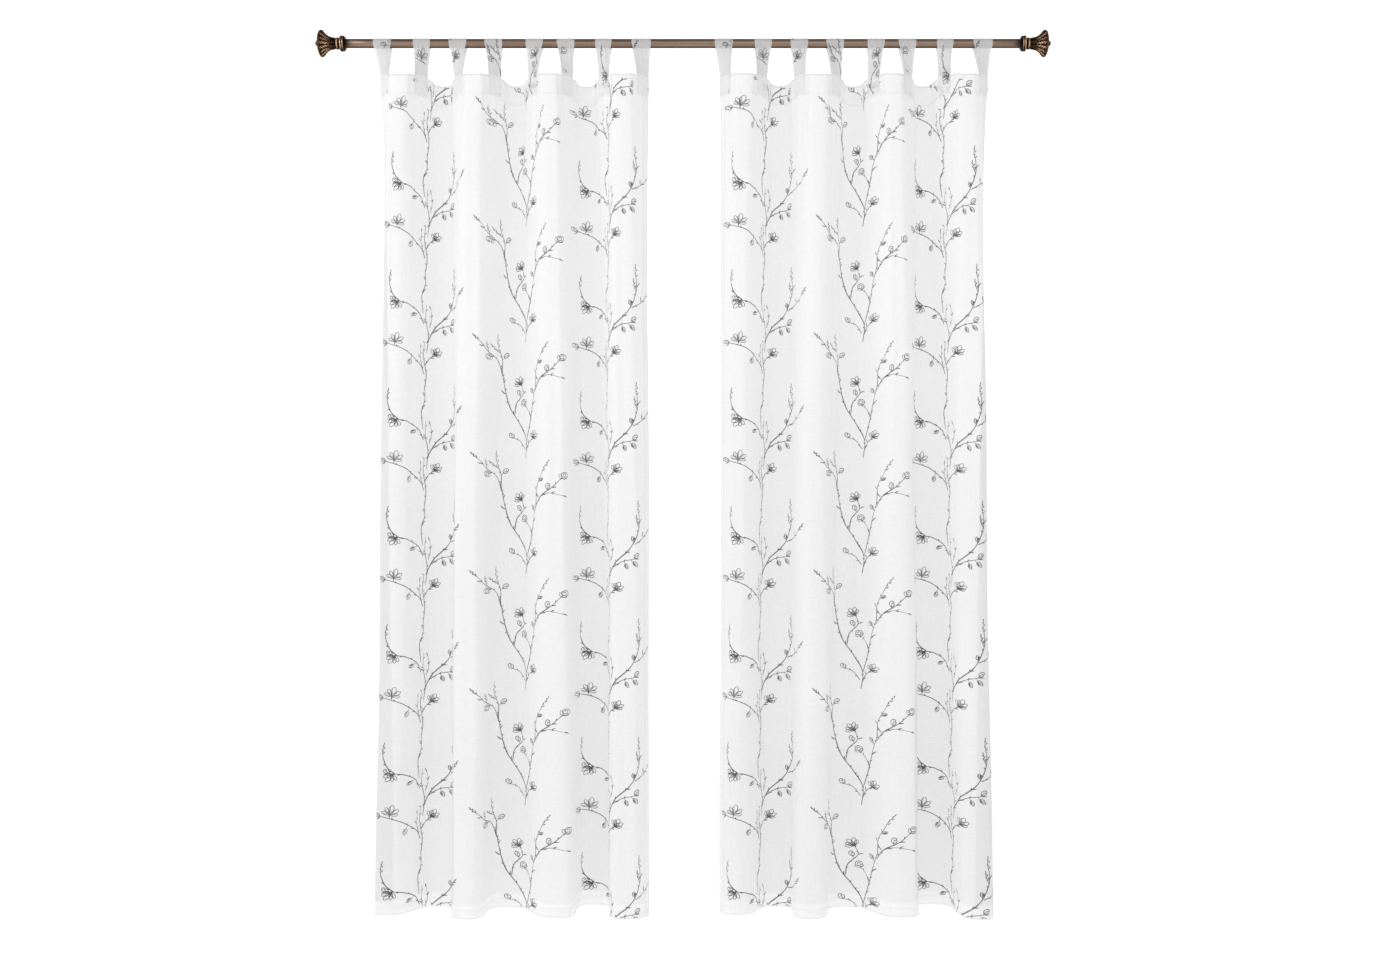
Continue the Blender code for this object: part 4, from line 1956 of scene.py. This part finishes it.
@dataclass(frozen=True)
class EndPiece:
    """The ribbed collar and the leafy flared finial on one end of the rod."""

    side: Side
    finishes: Finishes
    sides: int = 192
    leaves: int = 8
    shell_flutes: int = 16

    COLLAR = (
        (0.0, 13.2), (0.4, 15.6), (1.4, 17.0), (2.6, 17.6), (3.4, 18.6), (4.6, 19.2), (5.8, 18.5),
        (6.6, 17.4), (7.2, 17.2), (7.8, 17.6), (8.6, 19.0), (9.8, 19.5), (11.0, 18.9),
        (11.9, 17.6), (12.8, 16.6), (13.5, 15.2), (13.8, 13.6),
    )
    BORE = 11.3

    NECK = (
        (14.1, 10.6), (15.2, 11.4), (16.4, 12.4), (17.2, 13.7), (18.8, 14.4), (20.4, 14.2),
        (21.6, 13.2), (22.6, 12.9), (23.6, 13.0),
    )
    BELL = (
        (23.6, 13.0), (27.0, 13.3), (31.0, 13.8), (35.5, 14.9), (40.0, 16.5), (44.5, 19.2),
        (48.5, 22.4), (52.5, 26.6), (55.6, 30.2), (57.6, 32.2),
    )
    FACE = (
        (57.6, 32.2), (59.2, 32.3), (60.4, 31.2), (61.0, 29.6), (61.9, 28.3), (63.2, 26.2),
        (64.6, 22.6), (65.7, 18.0), (66.3, 13.0), (66.4, 9.4), (66.0, 7.2), (66.1, 5.6),
    )
    BALL = (
        (66.1, 5.6), (67.0, 5.9), (68.3, 6.35), (69.8, 6.4), (71.4, 5.8), (72.7, 4.5),
        (73.5, 2.6), (73.85, 0.9),
    )

    def build(self) -> None:
        """Makes both pieces and ties them to the model."""
        start = self.side.outward * ROD_HALF_SHOWN
        collar, finial = self._collar(start), self._finial(start)
        for piece, node in ((collar, "collar"), (finial, "finial")):
            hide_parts(f"{node}_{self.side.value}")
            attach(piece, "root")
            report(piece)

    def _collar(self, start: float) -> bpy.types.Object:
        """The collar: two round ribs with a fine groove between them.

        Args:
            start: x of its inner end.

        Returns:
            The new object.
        """
        outer = smooth_line(self.COLLAR, 4)
        profile = np.vstack([outer, [[outer[-1, 0], self.BORE], [outer[0, 0], self.BORE]]])
        relief = np.zeros((len(profile), self.sides))
        name = f"collar_{self.side.value}_ring"
        outward, cast = self.side.outward, self.finishes.cast
        piece = turned_piece(name, profile, relief, start, outward, cast, bored=True)
        raised = np.interp(profile[:, 1], [16.8, 17.8, 19.3], [0.12, 0.5, 1.0])
        # Painted shade: the ribs' rubbed brightness is cut back above and below the axis.
        set_values(piece, CastBronzeFinish.RUBBED_AND_PAINTED_SHADE, np.outer(raised, self._painted_shade_round_axis()).ravel())
        return piece

    def _painted_shade_round_axis(self) -> np.ndarray:
        """Painted shade round the axis: how much of the rubbed brightness each point keeps, less above
        and below.
        """
        angle = 2 * np.pi * np.arange(self.sides) / self.sides
        return 1 - 0.42 * np.abs(np.sin(angle)) ** 2.5

    def _leaf_relief(self, share: np.ndarray, angle: np.ndarray) -> tuple[np.ndarray, np.ndarray]:
        """The bell's leaves: how far they stand out, and how rubbed they are.

        Args:
            share: How far along the bell each ring is, from 0 at its neck to 1 at its rim.
            angle: Each point's angle round the axis.

        Returns:
            The relief in millimetres and the rubbed share, by ring and point.
        """
        share, angle = share[:, None], angle[None, :]

        def layer(shift: float, start: float, width: float) -> tuple[np.ndarray, np.ndarray]:
            """One round of leaves.

            Args:
                shift: How far it is turned, in leaves.
                start: Where along the bell it starts.
                width: How much of its room each leaf fills.

            Returns:
                Its mask, and how far each point lies from the middle of its leaf.
            """
            turn = angle * self.leaves / (2 * np.pi) + shift
            off = np.abs(turn - np.round(turn)) * 2
            grown = np.clip((share - start) / (1 - start), 0, 1)
            lobes = 1 - 0.20 * np.abs(np.sin(3.5 * np.pi * grown)) * (grown < 0.96)
            outline = width * np.sin(np.pi * (0.10 + 0.74 * grown)) ** 0.7 * lobes
            return eased(-0.02, 0.10, outline - off) * (grown > 0), off

        under, under_off = layer(0.5, 0.34, 0.92)
        over, over_off = layer(0.0, 0.0, 0.98)
        veins = np.cos(2 * np.pi * (share * 7.0 - over_off * 1.5))
        groove = np.exp(-((over_off / 0.07) ** 2))
        swell = np.cos(np.clip(over_off, 0, 1) * np.pi / 2)
        curl = 0.8 * np.exp(-(((share - 0.93) / 0.07) ** 2))
        curl = curl * np.cos(np.pi * np.clip(over_off, 0, 1))
        relief = under * (0.9 - 0.4 * under_off)
        leaf = over * (1.3 + 0.8 * swell + 0.25 * veins)
        relief = np.where(over > 0.02, np.maximum(relief, leaf), relief)
        relief = relief - over * groove * 0.8 + curl
        edge = np.exp(-(((over - 0.75) / 0.22) ** 2))
        rubbed = 0.02 + 0.34 * under + 0.30 * edge
        rubbed = rubbed + over * (0.24 + 0.16 * swell + 0.24 * veins)
        return relief - 1.0, np.clip(rubbed - 0.6 * groove * over, 0, 1)

    def _shell_relief(
        self, share: np.ndarray, angle: np.ndarray
    ) -> tuple[np.ndarray, np.ndarray]:
        """The face's shell flutes: how far they stand out, and how rubbed they are.

        Args:
            share: How far in each ring is, from 0 at the rim to 1 at the ball.
            angle: Each point's angle round the axis.

        Returns:
            The relief in millimetres and the rubbed share, by ring and point.
        """
        share, angle = share[:, None], angle[None, :]
        window = eased(0.16, 0.30, share) * (1 - eased(0.86, 0.96, share))
        flute = np.abs(np.cos(angle * self.shell_flutes / 2)) ** 0.7
        relief = window * (flute - 0.6)
        rubbed = 0.36 + window * (flute * 0.75 - 0.38)
        rubbed = rubbed - 0.3 * np.exp(-(((share - 0.17) / 0.05) ** 2))
        rubbed = rubbed - 0.35 * eased(0.9, 1.0, share)
        return relief, np.clip(rubbed + 0.25 * (share < 0.12), 0, 1)

    def _finial(self, start: float) -> bpy.types.Object:
        """The finial: rope neck, leafy bell, shell face, beaded rim and ball.

        Args:
            start: x of the collar's inner end.

        Returns:
            The new object.
        """
        angle = 2 * np.pi * np.arange(self.sides) / self.sides
        neck, bell = smooth_line(self.NECK, 3)[:-1], smooth_line(self.BELL, 10)[:-1]
        face, ball = smooth_line(self.FACE, 7)[:-1], smooth_line(self.BALL, 4)
        leafy, leafy_rub = self._leaf_relief(np.linspace(0, 1, len(bell)), angle)
        shell, shell_rub = self._shell_relief(np.linspace(0, 1, len(face)), angle)
        leafy *= eased(0.0, 0.10, np.linspace(0, 1, len(bell)))[:, None]
        rope = 0.28 * np.cos(angle[None, :] * 24 + neck[:, 0, None] * 0.9)
        rope *= eased(12.6, 14.2, neck[:, 1])[:, None]
        neck_rub_and_painted_shade = np.interp(neck[:, 1], [11.5, 12.8, 14.3], [0.06, 0.3, 0.95])[:, None]
        # Painted shade: the neck's rubbed brightness is cut back above and below the axis.
        neck_rub_and_painted_shade = (neck_rub_and_painted_shade + rope) * self._painted_shade_round_axis()[None, :]
        ball_rub = np.interp(ball[:, 1], [0.0, 4.5, 6.4], [0.80, 0.5, 0.62])[:, None]
        ball_rub = np.repeat(np.where(ball[:, 0, None] < 66.8, 0.1, ball_rub), self.sides, axis=1)
        relief = np.vstack([rope, leafy, shell, np.zeros((len(ball), self.sides))])
        rubbed = np.vstack([neck_rub_and_painted_shade, leafy_rub, shell_rub, ball_rub])
        name = f"finial_{self.side.value}_cast"
        profile = np.vstack([neck, bell, face, ball])
        piece = turned_piece(name, profile, relief, start, self.side.outward, self.finishes.cast)
        set_values(piece, CastBronzeFinish.RUBBED_AND_PAINTED_SHADE, rubbed.ravel())
        self._add_beads(piece, start)
        return piece

    def _add_beads(self, piece: bpy.types.Object, start: float) -> None:
        """Adds a round of small beads to the rim of the face.

        Args:
            piece: The finial.
            start: x of the collar's inner end.
        """
        beads, radius, along, size = 30, 29.6, 61.4, 1.45
        x = start + self.side.outward * along
        work = bmesh.new()
        work.from_mesh(piece.data)
        raised = work.verts.layers.float[CastBronzeFinish.RUBBED_AND_PAINTED_SHADE]
        for bead in range(beads):
            angle = 2 * math.pi * bead / beads
            place = Vector((x, radius * math.cos(angle), radius * math.sin(angle))) * MM
            spot = Matrix.Translation(place)
            made = bmesh.ops.create_icosphere(work, subdivisions=2, radius=size * MM, matrix=spot)
            for vert in made["verts"]:
                vert[raised] = 0.95
        for face in work.faces:
            face.smooth = True
        work.to_mesh(piece.data)
        work.free()


# Studio


@dataclass(frozen=True)
class SoftLight:
    """A square lamp that faces a point."""

    name: str
    place: tuple[float, float, float]
    aim: tuple[float, float, float]
    size: float
    power: float
    colour: Colour = (1.0, 1.0, 1.0)

    def build(self) -> None:
        """Makes the lamp."""
        data = bpy.data.lights.new(self.name, "AREA")
        data.shape = "SQUARE"
        data.size = self.size
        data.energy = self.power
        data.color = self.colour
        lamp = bpy.data.objects.new(self.name, data)
        lamp.location = self.place
        heading = Vector(self.aim) - Vector(self.place)
        lamp.rotation_euler = heading.to_track_quat("-Z", "Y").to_euler()
        bpy.context.scene.collection.objects.link(lamp)


@dataclass(frozen=True)
class Studio:
    """A pale floor that sweeps up into a backdrop, soft lamps and the camera."""

    floor: float = -2.26
    wall: float = 7.0
    front: float = -9.0
    half_width: float = 14.0
    height: float = 2.8
    sweep: float = 2.5
    camera_place: tuple[float, float, float] = (0.0415, -3.5, -1.0652)
    frame_width: float = 3.417
    daylight: float = 0.79
    zenith_share: float = 0.38

    LAMPS = (
        SoftLight("key_lamp", (-3.2, -2.3, 0.9), (0.0, 0.0, -1.0), 2.4, 38.0),
        SoftLight("front_lamp", (0.6, -4.6, 0.7), (0.0, 0.0, -0.9), 0.9, 17.0),
    )

    def build(self) -> None:
        """Makes everything that isn't part of the curtains."""
        self._backdrop()
        for lamp in self.LAMPS:
            lamp.build()
        self._world()
        self._camera()
        bpy.context.scene.view_settings.view_transform = "Standard"

    def _backdrop(self) -> None:
        """The floor, the sweep and the wall as one sheet."""
        line = [(self.front, self.floor), (self.wall - self.sweep, self.floor)]
        for step in range(1, 17):
            angle = math.pi / 2 * step / 16
            y = self.wall - self.sweep + self.sweep * math.sin(angle)
            line.append((y, self.floor + self.sweep * (1 - math.cos(angle))))
        line.append((self.wall, self.height))
        points = [(x, y, z) for y, z in line for x in (self.half_width, -self.half_width)]
        faces = grid_faces(len(line), 2)
        paint = PlainFinish("backdrop").build()
        backdrop = new_piece("backdrop", np.array(points) / MM, faces, paint)

    def _world(self) -> None:
        """Even daylight from all round, dimmer straight above."""
        bench = Bench(bpy.data.worlds.new("daylight"))
        heading = bench.node("ShaderNodeTexCoord", {}, {}, "Generated")
        height = bench.node("ShaderNodeSeparateXYZ", {}, {0: heading}, "Z")
        fade = {
            "Value": height,
            "From Min": 0.35,
            "From Max": 0.75,
            "To Min": self.daylight,
            "To Max": self.daylight * self.zenith_share,
        }
        strength = bench.node("ShaderNodeMapRange", {}, fade)
        sky = {"Color": (1.0, 1.0, 1.0), "Strength": strength}
        bpy.context.scene.world = bench.dress(sky, "Background")

    def _camera(self) -> None:
        """The camera, level and square on to the curtains."""
        data = bpy.data.cameras.new("camera")
        data.sensor_width = 36.0
        data.lens = data.sensor_width * abs(self.camera_place[1]) / self.frame_width
        camera = bpy.data.objects.new("camera", data)
        camera.location = self.camera_place
        camera.rotation_euler = (math.pi / 2, 0.0, 0.0)
        bpy.context.scene.collection.objects.link(camera)
        bpy.context.scene.camera = camera


def report(piece: bpy.types.Object) -> None:
    """Logs one finished piece."""
    LOG.info("%s: %d faces", piece.name, len(piece.data.polygons))


def main() -> None:
    """Builds the whole scene in order."""
    logging.basicConfig(level=logging.INFO, format="%(message)s")
    finishes = Finishes()
    Rod(finishes).build()
    for side in Side:
        EndPiece(side, finishes).build()
    for drape in (
        Drape(Side.LEFT, -742.7, 0.0, LEFT_FOLDS, LEFT_CREASES),
        Drape(Side.RIGHT, 89.3, 1.9, RIGHT_FOLDS, RIGHT_CREASES),
    ):
        Curtain(drape, finishes).build()
    Studio().build()
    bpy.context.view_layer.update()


if __name__ == "__main__":
    main()
